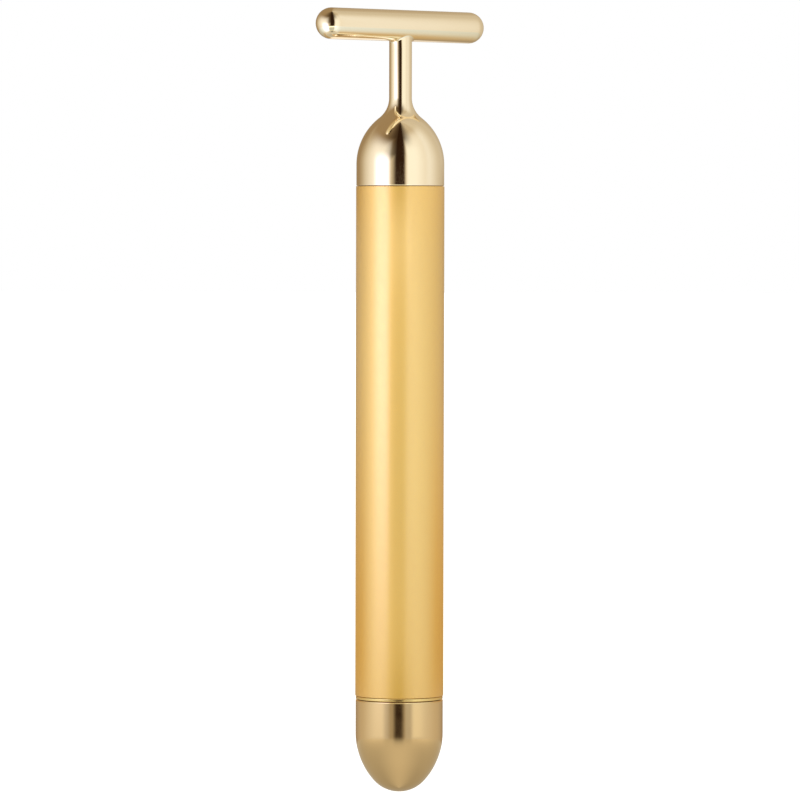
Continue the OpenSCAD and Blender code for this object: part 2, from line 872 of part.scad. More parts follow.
massage_head();
head_seal();
barrel();
end_cap();
cap_plug();
cap_seal();
battery_spring();
battery_cell();
battery_sleeve();
motor_carrier();
positive_contact();
earth_clip();
positive_lead();
negative_lead();
motor_can();
motor_end_bell();
motor_magnets();
front_bush();
rear_bush();
positive_brush();
negative_brush();
motor_shaft();
rotor_core();
rotor_windings();
commutator_hub();
commutator_segments();
shaft_spacers();
eccentric_weight();
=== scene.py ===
"""A vibrating beauty bar in a plain studio.

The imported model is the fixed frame. This script dresses it: turned and polished outer pieces, the
screw thread, the wound spring and rotor, and one procedural finish for each material. Sizes are in
millimetres and are turned to metres where a mesh is made.
"""

import logging
import math
from abc import ABC, abstractmethod
from dataclasses import dataclass
from enum import Enum
from functools import reduce
from typing import Iterable, NamedTuple, Sequence

import bmesh
import bpy
import numpy as np
from mathutils import Matrix, Vector
from mathutils.geometry import tessellate_polygon


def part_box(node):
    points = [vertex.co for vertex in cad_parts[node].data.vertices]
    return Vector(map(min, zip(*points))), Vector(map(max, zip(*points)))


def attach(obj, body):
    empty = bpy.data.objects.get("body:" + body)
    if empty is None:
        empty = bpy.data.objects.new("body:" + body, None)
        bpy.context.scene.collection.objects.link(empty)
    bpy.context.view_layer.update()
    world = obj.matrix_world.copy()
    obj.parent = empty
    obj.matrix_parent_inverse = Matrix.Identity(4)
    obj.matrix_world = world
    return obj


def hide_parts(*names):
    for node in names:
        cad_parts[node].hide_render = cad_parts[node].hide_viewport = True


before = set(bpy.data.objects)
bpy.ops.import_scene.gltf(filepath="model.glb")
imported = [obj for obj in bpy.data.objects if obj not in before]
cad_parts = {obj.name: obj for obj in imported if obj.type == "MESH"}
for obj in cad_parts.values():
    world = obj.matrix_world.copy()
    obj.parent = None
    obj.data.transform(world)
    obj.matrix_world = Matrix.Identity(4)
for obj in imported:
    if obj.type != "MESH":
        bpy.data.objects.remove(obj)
log = logging.getLogger("beauty_bar")

MM = 0.001  # a millimetre in metres
WELD = 2e-7  # points nearer than this are one, in metres
SHARP = 32.0  # edges over this angle in degrees stay crisp
CIRCLE = (0, 345, 23)  # 24 points all the way round: first angle, last angle, steps
REAR_BOSS = 1.0  # reach of the end bell's boss behind the motor's rear face, in millimetres

Colour = tuple[float, float, float]
Point = tuple[float, float]
Triple = tuple[float, float, float]
Socket = bpy.types.NodeSocket


class Body(Enum):
    """The moving bodies of the frame."""

    HANDLE = "handle"
    SLIDER = "cap_slider"
    CAP = "cap"
    ROTOR = "rotor"


class Axis(Enum):
    """A direction that grain runs along."""

    X = 0
    Y = 1
    Z = 2


# Node trees


class Nodes:
    """A short way to write a node tree.

    Args:
        tree: The tree that the nodes go into.
    """

    def __init__(self, tree: bpy.types.NodeTree) -> None:
        self.tree = tree

    def add(self, kind: str, settings: dict | None = None, **inputs: object) -> bpy.types.Node:
        """Adds one node.

        Args:
            kind: Blender's name of the node's type.
            settings: Values of the node's own properties.
            **inputs: Sockets by name, with _ for a space, or by number after an i. Each takes a
                value or the socket that feeds it.

        Returns:
            The new node.
        """
        node = self.tree.nodes.new(kind)
        for name, value in (settings or {}).items():
            setattr(node, name, value)
        for name, value in inputs.items():
            key = int(name[1:]) if name[0] == "i" and name[1:].isdigit() else name.replace("_", " ")
            self.feed(node.inputs[key], value)
        return node

    def feed(self, target: Socket, value: object) -> None:
        """Links a socket to the target, or sets the target's own value."""
        if isinstance(value, bpy.types.NodeSocket):
            self.tree.links.new(value, target)
        else:
            target.default_value = value

    def math(self, operation: str, *values: object) -> Socket:
        """One arithmetic step.

        Args:
            operation: Blender's name of the operation.
            *values: Numbers or sockets, in order.

        Returns:
            The result's socket.
        """
        node = self.add("ShaderNodeMath", {"operation": operation})
        for target, value in zip(node.inputs, values):
            self.feed(target, value)
        return node.outputs[0]

    def product(self, *values: object) -> Socket:
        """Multiplies values, from the first to the last."""
        return reduce(lambda total, value: self.math("MULTIPLY", total, value), values)

    def largest(self, *values: object) -> Socket:
        """The largest of several values."""
        return reduce(lambda total, value: self.math("MAXIMUM", total, value), values)

    def ease(self, value: object, start: float, end: float, low: object = 0.0, high: object = 1.0) -> Socket:
        """A smooth step from low to high as the value goes from start to end."""
        node = self.add(
            "ShaderNodeMapRange", {"interpolation_type": "SMOOTHSTEP"},
            Value=value, From_Min=start, From_Max=end, To_Min=low, To_Max=high,
        )
        return node.outputs[0]


# Finishes


class Surface(Nodes):
    """The node tree of one material, with its shader and its coordinates.

    Args:
        name: The material's name.
        colour: Base colour.
        metallic: 1 for metal and 0 for anything else.
        roughness: Roughness of the shader.
    """

    def __init__(self, name: str, colour: Colour, metallic: float, roughness: float) -> None:
        self.material = bpy.data.materials.new(name)
        self.material.use_nodes = True
        super().__init__(self.material.node_tree)
        self.shader = self.tree.nodes["Principled BSDF"]
        self.colour = colour
        self.shader.inputs["Base Color"].default_value = (*colour, 1)
        self.shader.inputs["Metallic"].default_value = metallic
        self.shader.inputs["Roughness"].default_value = roughness
        self.place = self.add("ShaderNodeTexCoord").outputs["Object"]
        self.relief: Socket | None = None

    def stretched(self, stretch: Triple) -> Socket:
        """Object coordinates, scaled so that a pattern is drawn out where its factor is small."""
        return self.add("ShaderNodeMapping", Vector=self.place, Scale=stretch).outputs[0]

    def noise(self, per_metre: float, detail: float = 3.0, stretch: Triple = (1, 1, 1)) -> Socket:
        """Soft noise.

        Args:
            per_metre: Features in a metre.
            detail: Finer layers on top.
            stretch: Scale along X, Y and Z.

        Returns:
            The socket of its value, from 0 to 1.
        """
        place = self.stretched(stretch) if stretch != (1, 1, 1) else self.place
        return self.add("ShaderNodeTexNoise", Vector=place, Scale=per_metre, Detail=detail).outputs[0]

    def cells(self, per_metre: float, spread: float = 1.0) -> Socket:
        """Distance to the nearest of many scattered points, for pits and pores."""
        node = self.add("ShaderNodeTexVoronoi", Vector=self.place, Scale=per_metre, Randomness=spread)
        return node.outputs["Distance"]

    def bands(self, per_metre: float, axis: Axis, wander: float = 0.0) -> Socket:
        """Fine parallel marks across an axis."""
        settings = {"wave_type": "BANDS", "bands_direction": axis.name}
        scale = per_metre * math.pi / 10
        node = self.add(
            "ShaderNodeTexWave", settings, Vector=self.place, Scale=scale, Distortion=wander, Detail=2.0
        )
        return node.outputs["Fac"]

    def tint(self, factor: Socket, other: Colour, reach: float = 1.0) -> None:
        """Mixes the base colour towards another where the factor is high."""
        mix = self.add("ShaderNodeMix", {"data_type": "RGBA"})
        self.feed(mix.inputs["Factor"], self.math("MULTIPLY", factor, reach))
        base = self.shader.inputs["Base Color"]
        source = base.links[0].from_socket if base.is_linked else (*self.colour, 1)
        self.feed(mix.inputs[6], source)
        self.feed(mix.inputs[7], (*other, 1))
        self.feed(base, mix.outputs[2])

    def gloss(self, factor: Socket, low: float, high: float) -> None:
        """Runs the roughness from low to high with a factor."""
        self.feed(self.shader.inputs["Roughness"], self.ease(factor, 0.25, 0.75, low, high))

    def bump(self, height: Socket, depth: float) -> None:
        """Adds relief of a depth in millimetres on top of what is there."""
        node = self.add("ShaderNodeBump", Height=height, Distance=depth * MM, Strength=1.0)
        if self.relief is not None:
            self.feed(node.inputs["Normal"], self.relief)
        self.relief = node.outputs[0]
        self.feed(self.shader.inputs["Normal"], self.relief)

    def coat(self, weight: float, roughness: float, index: float = 1.5) -> None:
        """Lays a clear coat on top, by its weight, its roughness and its index of refraction."""
        for name, value in (("Weight", weight), ("Roughness", roughness), ("IOR", index)):
            self.shader.inputs["Coat " + name].default_value = value


@dataclass(frozen=True)
class Finish:
    """A surface with a name, a slot of the record, a colour and a gloss."""

    slot: str
    colour: Colour
    roughness: float
    metallic: float = 1.0

    def lay(self, surface: Surface) -> None:
        """Adds the finish's own detail to a new material."""

    def material(self) -> bpy.types.Material:
        """Makes the material, or finds it if it is made already."""
        name = self.slot + "_finish"
        if name not in bpy.data.materials:
            surface = Surface(name, self.colour, self.metallic, self.roughness)
            self.lay(surface)
            surface.material.diffuse_color = (*self.colour, 1)
        return bpy.data.materials[name]


@dataclass(frozen=True)
class PolishedPlate(Finish):
    """Mirror-polished plating, with the faint swell and hairlines that buffing leaves."""

    warmth: Colour = (0.80, 0.62, 0.34)
    haze: float = 0.02

    def lay(self, surface: Surface) -> None:
        """Adds a slow drift of colour, a little haze and hairlines."""
        surface.tint(surface.noise(90, 2), self.warmth, 0.16)
        haze = surface.noise(260, 4)
        surface.gloss(haze, self.roughness - self.haze, self.roughness + self.haze)
        surface.bump(surface.noise(160, 1), 0.0016)
        surface.bump(surface.noise(5200, 3, (1, 1, 0.07)), 0.00009)


@dataclass(frozen=True)
class SatinAnodised(Finish):
    """Blasted and anodised metal: an even satin skin of very fine pits."""

    deep: Colour = (0.62, 0.38, 0.14)
    pit: float = 0.0016

    def lay(self, surface: Surface) -> None:
        """Adds blasted pits, faint drawing lines along the tube and a slow drift of dye."""
        surface.tint(surface.noise(60, 3, (1, 1, 0.35)), self.deep, 0.14)
        surface.tint(surface.cells(5200), self.deep, 0.10)
        surface.gloss(surface.noise(700, 4), self.roughness - 0.03, self.roughness + 0.03)
        surface.bump(surface.noise(5600, 2), self.pit)
        surface.bump(surface.noise(2600, 3, (1, 1, 0.02)), self.pit / 3)
        surface.coat(1.0, 0.24, 2.1)


@dataclass(frozen=True)
class TurnedMetal(Finish):
    """Metal left as the lathe or the drawing die left it, with fine rings round the axis."""

    dull: Colour = (0.4, 0.4, 0.4)
    rings: float = 4500.0
    depth: float = 0.0006

    def lay(self, surface: Surface) -> None:
        """Adds turning rings, stains and a varied gloss."""
        surface.tint(surface.noise(420, 5), self.dull, 0.22)
        surface.gloss(surface.noise(1500, 3, (1, 1, 6)), self.roughness - 0.05, self.roughness + 0.07)
        surface.bump(surface.bands(self.rings, Axis.Z, 0.4), self.depth)


@dataclass(frozen=True)
class StampedMetal(Finish):
    """Thin rolled strip, with rolling lines and a little tarnish."""

    tarnish: Colour = (0.42, 0.26, 0.12)
    grain: Axis = Axis.Z

    def lay(self, surface: Surface) -> None:
        """Adds rolling lines along the strip and tarnish in patches."""
        stretch = [1.0, 1.0, 1.0]
        stretch[self.grain.value] = 0.05
        surface.tint(surface.noise(700, 5), self.tarnish, 0.35)
        surface.gloss(surface.noise(2500, 4, tuple(stretch)), self.roughness - 0.08, self.roughness + 0.1)
        surface.bump(surface.noise(7000, 2, tuple(stretch)), 0.001)


@dataclass(frozen=True)
class Sintered(Finish):
    """Pressed and sintered powder, with open pores."""

    # Colour of a random mottle, and of the painted shade that darkens the pores.
    mottle_and_pore_shade: Colour = (0.03, 0.03, 0.03)
    pores: float = 5200.0

    def lay(self, surface: Surface) -> None:
        """Adds a random mottle, pores darkened with painted shade, and the pores' relief."""
        open_pore = surface.math("SUBTRACT", 1.0, surface.ease(surface.cells(self.pores), 0.1, 0.35))
        surface.tint(surface.noise(900, 5), self.mottle_and_pore_shade, 0.25)
        # Painted shade: the pores are darkened towards the same colour.
        surface.tint(open_pore, self.mottle_and_pore_shade, 0.6)
        surface.gloss(surface.noise(2400, 4), self.roughness - 0.08, self.roughness + 0.08)
        surface.bump(surface.math("SUBTRACT", 1.0, open_pore), 0.006)


@dataclass(frozen=True)
class Moulded(Finish):
    """Injection-moulded plastic with a spark-eroded skin."""

    metallic: float = 0.0
    shade: Colour = (0.7, 0.68, 0.62)
    skin: float = 0.006

    def lay(self, surface: Surface) -> None:
        """Adds the eroded skin, flow marks and a varied gloss."""
        surface.tint(surface.noise(240, 4, (1, 1, 0.4)), self.shade, 0.3)
        surface.gloss(surface.noise(3000, 3), self.roughness - 0.07, self.roughness + 0.07)
        surface.bump(surface.noise(4200, 4), self.skin)


@dataclass(frozen=True)
class Rubber(Finish):
    """A soft ring of rubber, matt where it has bloomed."""

    metallic: float = 0.0
    bloom: Colour = (0.16, 0.16, 0.16)

    def lay(self, surface: Surface) -> None:
        """Adds bloom and a fine skin."""
        surface.tint(surface.noise(1200, 5), self.bloom, 0.4)
        surface.gloss(surface.noise(1800, 3), self.roughness - 0.12, self.roughness + 0.1)
        surface.bump(surface.noise(6000, 3), 0.003)


@dataclass(frozen=True)
class ShrunkFilm(Finish):
    """Printed film shrunk round the cell: glossy, with faint tension waves."""

    metallic: float = 0.0
    ink: Colour = (0.1, 0.13, 0.17)

    def lay(self, surface: Surface) -> None:
        """Adds waves of shrinkage and an even print with a slight drift."""
        surface.tint(surface.noise(150, 3), self.ink, 0.35)
        surface.gloss(surface.noise(500, 4), self.roughness - 0.06, self.roughness + 0.09)
        surface.bump(surface.noise(260, 2, (1, 1, 0.3)), 0.02)
        surface.coat(0.4, 0.08)


@dataclass(frozen=True)
class Enamelled(Finish):
    """Copper wire under clear enamel."""

    amber: Colour = (0.42, 0.12, 0.04)

    def lay(self, surface: Surface) -> None:
        """Adds uneven enamel."""
        surface.tint(surface.noise(1600, 4), self.amber, 0.45)
        surface.gloss(surface.noise(3000, 3), self.roughness - 0.06, self.roughness + 0.08)
        surface.bump(surface.noise(5200, 2), 0.002)
        surface.coat(0.6, 0.12)


HEAD_GOLD = PolishedPlate("polished_gold", (0.98, 0.835, 0.60), 0.07)
CAP_GOLD = PolishedPlate("cap_gold", (0.82, 0.59, 0.30), 0.115, warmth=(0.7, 0.45, 0.2), haze=0.03)
RING_GOLD = TurnedMetal(
    "bright_gold", (0.93, 0.68, 0.27), 0.14, dull=(0.75, 0.5, 0.18), rings=2200, depth=0.0004
)
SATIN_GOLD = SatinAnodised("satin_gold", (0.99, 0.57, 0.07), 0.46, metallic=0.8)
SEAL_RUBBER = Rubber("seal_rubber", (0.03, 0.03, 0.032), 0.55)
SPRING_STEEL = TurnedMetal("spring_steel", (0.72, 0.71, 0.69), 0.24, dull=(0.5, 0.48, 0.45), depth=0.0003)
CELL_METAL = TurnedMetal(
    "cell_metal", (0.74, 0.74, 0.75), 0.2, dull=(0.55, 0.55, 0.56), rings=5200, depth=0.0003
)
SLEEVE_FILM = ShrunkFilm("sleeve_film", (0.2, 0.24, 0.28), 0.26)
CARRIER_PLASTIC = Moulded("carrier_plastic", (0.85, 0.84, 0.8), 0.5)
CONTACT_BRASS = StampedMetal("contact_brass", (0.82, 0.64, 0.34), 0.28)
RED_INSULATION = Moulded("red_insulation", (0.6, 0.04, 0.03), 0.4, shade=(0.45, 0.02, 0.02), skin=0.002)
BLACK_INSULATION = Moulded("black_insulation", (0.03, 0.03, 0.03), 0.4, shade=(0.07, 0.07, 0.07), skin=0.002)
MOTOR_STEEL = TurnedMetal("motor_steel", (0.64, 0.64, 0.65), 0.3, dull=(0.46, 0.45, 0.42), rings=3600)
BELL_PLASTIC = Moulded("bell_plastic", (0.86, 0.84, 0.76), 0.42, shade=(0.74, 0.7, 0.6))
MAGNET_FERRITE = Sintered("magnet_ferrite", (0.1, 0.1, 0.11), 0.62)
BUSH_BRONZE = Sintered("bush_bronze", (0.55, 0.36, 0.18), 0.38, mottle_and_pore_shade=(0.16, 0.09, 0.04))
SHAFT_STEEL = TurnedMetal(
    "shaft_steel", (0.75, 0.75, 0.76), 0.16, dull=(0.6, 0.6, 0.6), rings=7000, depth=0.0002
)
CORE_STEEL = StampedMetal("core_steel", (0.42, 0.42, 0.44), 0.36, tarnish=(0.22, 0.17, 0.13))
WINDING_COPPER = Enamelled("winding_copper", (0.72, 0.3, 0.13), 0.28)
HUB_PLASTIC = Moulded("hub_plastic", (0.2, 0.09, 0.045), 0.45, shade=(0.3, 0.15, 0.08))
COMMUTATOR_COPPER = TurnedMetal("commutator_copper", (0.8, 0.42, 0.24), 0.26, dull=(0.32, 0.16, 0.1))
SPACER_NYLON = Moulded("spacer_nylon", (0.9, 0.9, 0.87), 0.45, shade=(0.82, 0.8, 0.72), skin=0.002)
WEIGHT_BRASS = StampedMetal("weight_brass", (0.76, 0.58, 0.28), 0.34, tarnish=(0.46, 0.3, 0.14))


# Outlines and turned pieces


@dataclass(frozen=True)
class Span:
    """The room of a CAD node in millimetres: radius about the handle's axis and the two levels."""

    radius: float
    low: float
    high: float

    @classmethod
    def of(cls, node: str) -> "Span":
        """Reads a node's span from the frame."""
        low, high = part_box(node)
        radius = max(abs(v) for v in (low.x, low.y, high.x, high.y))
        return cls(radius / MM, low.z / MM, high.z / MM)


def motor_level() -> float:
    """Level of the motor's rear face, from the tip of its end bell's boss."""
    return Span.of("motor_end_bell").low + REAR_BOSS


class Outline:
    """The profile of a turned piece, drawn in millimetres as radius and level.

    A point beside each round keeps its soft shading off the straight faces that it joins. HOLD is
    the distance to it, as a share of the round's radius, and ROOM is how many such distances a
    face must be long to get one. FACET is about how many degrees one face of a round turns by.
    """

    HOLD = 0.4
    ROOM = 4
    FACET = 15

    def __init__(self) -> None:
        self.corners: list[tuple[float, float, float]] = []

    def to(self, radius: float, level: float, ease: float = 0.0) -> "Outline":
        """Adds a corner.

        Args:
            radius: Distance from the axis.
            level: Height.
            ease: Radius of the round that replaces the corner.

        Returns:
            The outline itself.
        """
        self.corners.append((radius, level, ease))
        return self

    def run(self, *corners: Sequence[float]) -> "Outline":
        """Adds several corners, each as its radius, its level and perhaps its round."""
        for corner in corners:
            self.to(*corner)
        return self

    def arc(self, centre: Point, radius: float, start: float, end: float, steps: int) -> "Outline":
        """Adds points on an arc, from the start angle to the end angle in degrees."""
        for step in range(steps + 1):
            angle = math.radians(start + (end - start) * step / steps)
            self.to(centre[0] + radius * math.cos(angle), centre[1] + radius * math.sin(angle))
        return self

    def points(self, closed: bool) -> list[Point]:
        """Works the rounds out.

        Args:
            closed: Whether the outline comes back to its first corner.

        Returns:
            The points of the finished profile.
        """
        out: list[Point] = []
        count = len(self.corners)
        for i, (radius, level, ease) in enumerate(self.corners):
            here = np.array((radius, level))
            inner = closed or 0 < i < count - 1
            if not (ease and inner):
                out.append((radius, level))
                continue
            before = np.array(self.corners[i - 1][:2]) - here
            after = np.array(self.corners[(i + 1) % count][:2]) - here
            room = (np.linalg.norm(before), np.linalg.norm(after))
            before /= room[0]
            after /= room[1]
            half = math.acos(float(np.clip(before @ after, -1, 1))) / 2
            middle = (before + after) / np.linalg.norm(before + after) * ease / math.sin(half)
            sweep = math.pi - 2 * half
            steps = max(2, round(math.degrees(sweep) / self.FACET))
            reach = ease / math.tan(half)
            first = before * reach - middle
            last = after * reach - middle
            hold = reach + self.HOLD * ease
            if room[0] > self.ROOM * hold:
                out.append(tuple(here + before * hold))
            for step in range(steps + 1):
                a = math.sin(sweep * (1 - step / steps)) / math.sin(sweep)
                b = math.sin(sweep * step / steps) / math.sin(sweep)
                out.append(tuple(here + middle + a * first + b * last))
            if room[1] > self.ROOM * hold:
                out.append(tuple(here + after * hold))
        return out


def new_object(name: str, mesh: bpy.types.Mesh) -> bpy.types.Object:
    """Links a new object to the scene."""
    piece = bpy.data.objects.new(name, mesh)
    bpy.context.scene.collection.objects.link(piece)
    return piece


def plain_mesh(
    name: str, points: Sequence[Sequence[float]], edges: Sequence, faces: Sequence
) -> bpy.types.Mesh:
    """A mesh in metres from points in millimetres."""
    mesh = bpy.data.meshes.new(name)
    mesh.from_pydata([tuple(v * MM for v in p) for p in points], list(edges), list(faces))
    mesh.update()
    return mesh


def face_outwards(mesh: bpy.types.Mesh) -> None:
    """Turns every face of a closed mesh outwards and shades it, crisp at edges over SHARP degrees."""
    work = bmesh.new()
    work.from_mesh(mesh)
    bmesh.ops.remove_doubles(work, verts=work.verts, dist=WELD)
    bmesh.ops.dissolve_degenerate(work, edges=work.edges, dist=1e-8)
    bmesh.ops.recalc_face_normals(work, faces=work.faces)
    if work.calc_volume(signed=True) < 0:
        bmesh.ops.reverse_faces(work, faces=work.faces)
    work.to_mesh(mesh)
    work.free()
    mesh.polygons.foreach_set("use_smooth", [True] * len(mesh.polygons))
    mesh.set_sharp_from_angle(angle=math.radians(SHARP))
    mesh.update()


class Skin:
    """A mesh in the making: rings of points in millimetres and the faces between them."""

    def __init__(self) -> None:
        self.points: list[Triple] = []
        self.faces: list[tuple[int, ...]] = []

    def ring(self, places: Sequence[Triple]) -> list[int]:
        """Adds a ring of points and gives their numbers."""
        self.points.extend(places)
        return list(range(len(self.points) - len(places), len(self.points)))

    def join(self, a: Sequence[int], b: Sequence[int]) -> None:
        """Adds the faces between two rings, or between a pole and a ring."""
        for k in range(len(b)):
            n = (k + 1) % len(b)
            self.faces.append((a[0], b[k], b[n]) if len(a) == 1 else (a[k], a[n], b[n], b[k]))

    def climb(self, rings: Iterable[Sequence[Triple]], last: Sequence[int] = ()) -> Sequence[int]:
        """Adds rings one after the other, each joined to the one before.

        Args:
            rings: The points of each ring.
            last: Numbers of the ring to begin from, if there is one.

        Returns:
            Numbers of the last ring's points.
        """
        for places in rings:
            here = self.ring(places)
            if last:
                self.join(last, here)
            last = here
        return last

    def mesh(self, name: str) -> bpy.types.Mesh:
        """Makes the closed mesh, with its faces turned outwards."""
        mesh = plain_mesh(name, self.points, [], self.faces)
        face_outwards(mesh)
        return mesh


def round_points(radius: float, start: float, end: float, steps: int) -> list[Point]:
    """Points on a circle about the axis, from one angle to another in degrees, both included."""
    angles = [math.radians(start + (end - start) * k / steps) for k in range(steps + 1)]
    return [(radius * math.cos(a), radius * math.sin(a)) for a in angles]


@dataclass(frozen=True)
class Plate:
    """A flat piece, in millimetres: an outline, perhaps with a round hole, and broken edges.

    KEEN keeps a keen corner from being drawn in too far.
    """

    KEEN = 0.35

    outline: list[Point]
    thick: float
    edge: float
    hole_r: float = 0.0

    def inset(self) -> list[Point]:
        """The outline, drawn in by the width of the edge break."""
        out = []
        count = len(self.outline)
        for i, here in enumerate(self.outline):
            before = Vector(here) - Vector(self.outline[i - 1])
            after = Vector(self.outline[(i + 1) % count]) - Vector(here)
            before.normalize()
            after.normalize()
            inwards = Vector((-before.y - after.y, before.x + after.x))
            reach = self.edge / max(self.KEEN, inwards.length / 2)
            out.append(tuple(Vector(here) + inwards.normalized() * reach))
        return out

    def loops(self, drawn_in: bool) -> list[list[Point]]:
        """The outline and the hole at one level."""
        loops = [self.inset() if drawn_in else list(self.outline)]
        if self.hole_r:
            loops.append(round_points(self.hole_r + (self.edge if drawn_in else 0), *CIRCLE))
        return loops

    def mesh(self, name: str, level: float) -> bpy.types.Mesh:
        """Builds the plate upwards from a level.

        Args:
            name: The mesh's name.
            level: Level of its underside.

        Returns:
            The closed mesh.
        """
        levels = [(0.0, True), (self.edge, False), (self.thick - self.edge, False), (self.thick, True)]
        skin = Skin()
        rows = [
            [skin.ring([(x, y, level + rise) for x, y in loop]) for loop in self.loops(drawn_in)]
            for rise, drawn_in in levels
        ]
        top = rows[-1][0][0]
        for rings in zip(*rows):
            for low, high in zip(rings, rings[1:]):
                skin.join(low, high)
        flat = tessellate_polygon([[Vector((*p, 0)) for p in loop] for loop in self.loops(True)])
        skin.faces += [tuple(triangle) for triangle in flat]
        skin.faces += [tuple(top + k for k in reversed(triangle)) for triangle in flat]
        return skin.mesh(name)


def merged(first: bpy.types.Object, *others: bpy.types.Object) -> bpy.types.Object:
    """Puts several objects' meshes into the first one and takes the others away."""
    work = bmesh.new()
    for piece in (first, *others):
        work.from_mesh(piece.data)
    work.to_mesh(first.data)
    work.free()
    for piece in others:
        mesh = piece.data
        bpy.data.objects.remove(piece)
        bpy.data.meshes.remove(mesh)
    first.data.set_sharp_from_angle(angle=math.radians(SHARP))
    return first


class Tree(Nodes):
    """A Geometry Nodes tree with named inputs.

    Args:
        name: The tree's name.
    """

    def __init__(self, name: str) -> None:
        super().__init__(bpy.data.node_groups.new(name, "GeometryNodeTree"))
        self.keys: dict[str, str] = {}
        self.tree.interface.new_socket("Geometry", in_out="INPUT", socket_type="NodeSocketGeometry")
        self.tree.interface.new_socket("Geometry", in_out="OUTPUT", socket_type="NodeSocketGeometry")
        self.source = self.tree.nodes.new("NodeGroupInput")
        self.sink = self.tree.nodes.new("NodeGroupOutput")

    def number(self, name: str, whole: bool = False) -> None:
        """Adds a named number to the tree's inputs."""
        kind = "NodeSocketInt" if whole else "NodeSocketFloat"
        self.keys[name] = self.tree.interface.new_socket(name, in_out="INPUT", socket_type=kind).identifier

    def given(self, name: str) -> Socket:
        """The socket of a named input."""
        return self.source.outputs[name]

    def close(self, geometry: Socket) -> None:
        """Ends the tree with real geometry and the piece's material."""
        self.keys["Material"] = self.tree.interface.new_socket(
            "Material", in_out="INPUT", socket_type="NodeSocketMaterial"
        ).identifier
        real = self.add("GeometryNodeRealizeInstances", Geometry=geometry).outputs[0]
        paint = self.source.outputs["Material"]
        painted = self.add("GeometryNodeSetMaterial", Geometry=real, Material=paint)
        self.feed(self.sink.inputs[0], painted.outputs[0])

    def grow(self, name: str, start: bpy.types.Mesh, finish: Finish, **values: float) -> bpy.types.Object:
        """Runs the tree on a start mesh and keeps the result as a plain mesh.

        Args:
            name: The piece's name.
            start: The geometry that the tree gets.
            finish: The piece's finish.
            **values: Named inputs, with _ for a space.

        Returns:
            The piece, with no modifier left on it.
        """
        piece = new_object(name, start)
        modifier = piece.modifiers.new(self.tree.name, "NODES")
        modifier.node_group = self.tree
        modifier[self.keys["Material"]] = finish.material()
        for key, value in values.items():
            modifier[self.keys[key.replace("_", " ")]] = value
        bpy.context.view_layer.update()
        seen = piece.evaluated_get(bpy.context.evaluated_depsgraph_get())
        mesh = bpy.data.meshes.new_from_object(seen)
        piece.modifiers.remove(modifier)
        piece.data = mesh
        mesh.name = name
        bpy.data.meshes.remove(start)
        face_outwards(mesh)
        return piece


def turning_tree() -> Tree:
    """Turns an outline about Z. With a pitch it climbs as it turns, as a thread does.

    Returns:
        A tree with Segments, Turns, Pitch, Root Radius, Root Level and Run Out. At both ends of a
        thread the profile shrinks to its root over the share Run Out of its length.
    """
    no_run_out = 1e-6
    tree = Tree("turning")
    tree.number("Segments", whole=True)
    for name in ("Turns", "Pitch", "Root Radius", "Root Level", "Run Out"):
        tree.number(name)
    outline = tree.source.outputs["Geometry"]
    count = tree.add("GeometryNodeAttributeDomainSize", Geometry=outline).outputs["Point Count"]
    across = tree.math("ADD", tree.given("Segments"), 1.0)
    grid = tree.add("GeometryNodeMeshGrid", Size_X=1.0, Size_Y=1.0, Vertices_X=across, Vertices_Y=count)
    place = tree.add("ShaderNodeSeparateXYZ", Vector=tree.add("GeometryNodeInputPosition").outputs[0])
    along = tree.math("ADD", place.outputs[0], 0.5)
    up = tree.math("ADD", place.outputs[1], 0.5)
    row = tree.math("ROUND", tree.math("MULTIPLY", up, tree.math("SUBTRACT", count, 1.0)))
    by_point = {"data_type": "FLOAT_VECTOR", "domain": "POINT"}
    sample = tree.add("GeometryNodeSampleIndex", by_point, Geometry=outline, Index=row)
    tree.feed(sample.inputs["Value"], tree.add("GeometryNodeInputPosition").outputs[0])
    profile = tree.add("ShaderNodeSeparateXYZ", Vector=sample.outputs[0])
    near_end = tree.math("MINIMUM", along, tree.math("SUBTRACT", 1.0, along))
    run_out = tree.given("Run Out")
    full = tree.math("DIVIDE", near_end, tree.math("MAXIMUM", run_out, no_run_out))
    full = tree.math("MINIMUM", 1.0, full)
    full = tree.math("MAXIMUM", full, tree.math("LESS_THAN", run_out, no_run_out))
    rise = tree.math("SUBTRACT", profile.outputs[0], tree.given("Root Radius"))
    radius = tree.math("ADD", tree.given("Root Radius"), tree.math("MULTIPLY", rise, full))
    turn = tree.math("MULTIPLY", along, tree.given("Turns"))
    angle = tree.math("MULTIPLY", turn, 2 * math.pi)
    root_level = tree.given("Root Level")
    off_root = tree.math("MULTIPLY", tree.math("SUBTRACT", profile.outputs[2], root_level), full)
    at_start = tree.math("ADD", root_level, off_root)
    level = tree.math("ADD", at_start, tree.math("MULTIPLY", turn, tree.given("Pitch")))
    position = tree.add(
        "ShaderNodeCombineXYZ",
        X=tree.math("MULTIPLY", radius, tree.math("COSINE", angle)),
        Y=tree.math("MULTIPLY", radius, tree.math("SINE", angle)),
        Z=level,
    ).outputs[0]
    moved = tree.add("GeometryNodeSetPosition", Geometry=grid.outputs["Mesh"], Position=position).outputs[0]
    tree.close(tree.add("GeometryNodeMergeByDistance", Geometry=moved, Distance=WELD).outputs[0])
    return tree


def wire_tree() -> Tree:
    """Runs a round wire with closed ends along a line of points.

    Returns:
        A tree with Wire Radius and Sides.
    """
    tree = Tree("round_wire")
    tree.number("Wire Radius")
    tree.number("Sides", whole=True)
    path = tree.add("GeometryNodeMeshToCurve", Mesh=tree.source.outputs["Geometry"]).outputs[0]
    sides, radius = tree.given("Sides"), tree.given("Wire Radius")
    ring = tree.add("GeometryNodeCurvePrimitiveCircle", Resolution=sides, Radius=radius)
    wire = tree.add("GeometryNodeCurveToMesh", Curve=path, Profile_Curve=ring.outputs[0], Fill_Caps=True)
    tree.close(wire.outputs[0])
    return tree


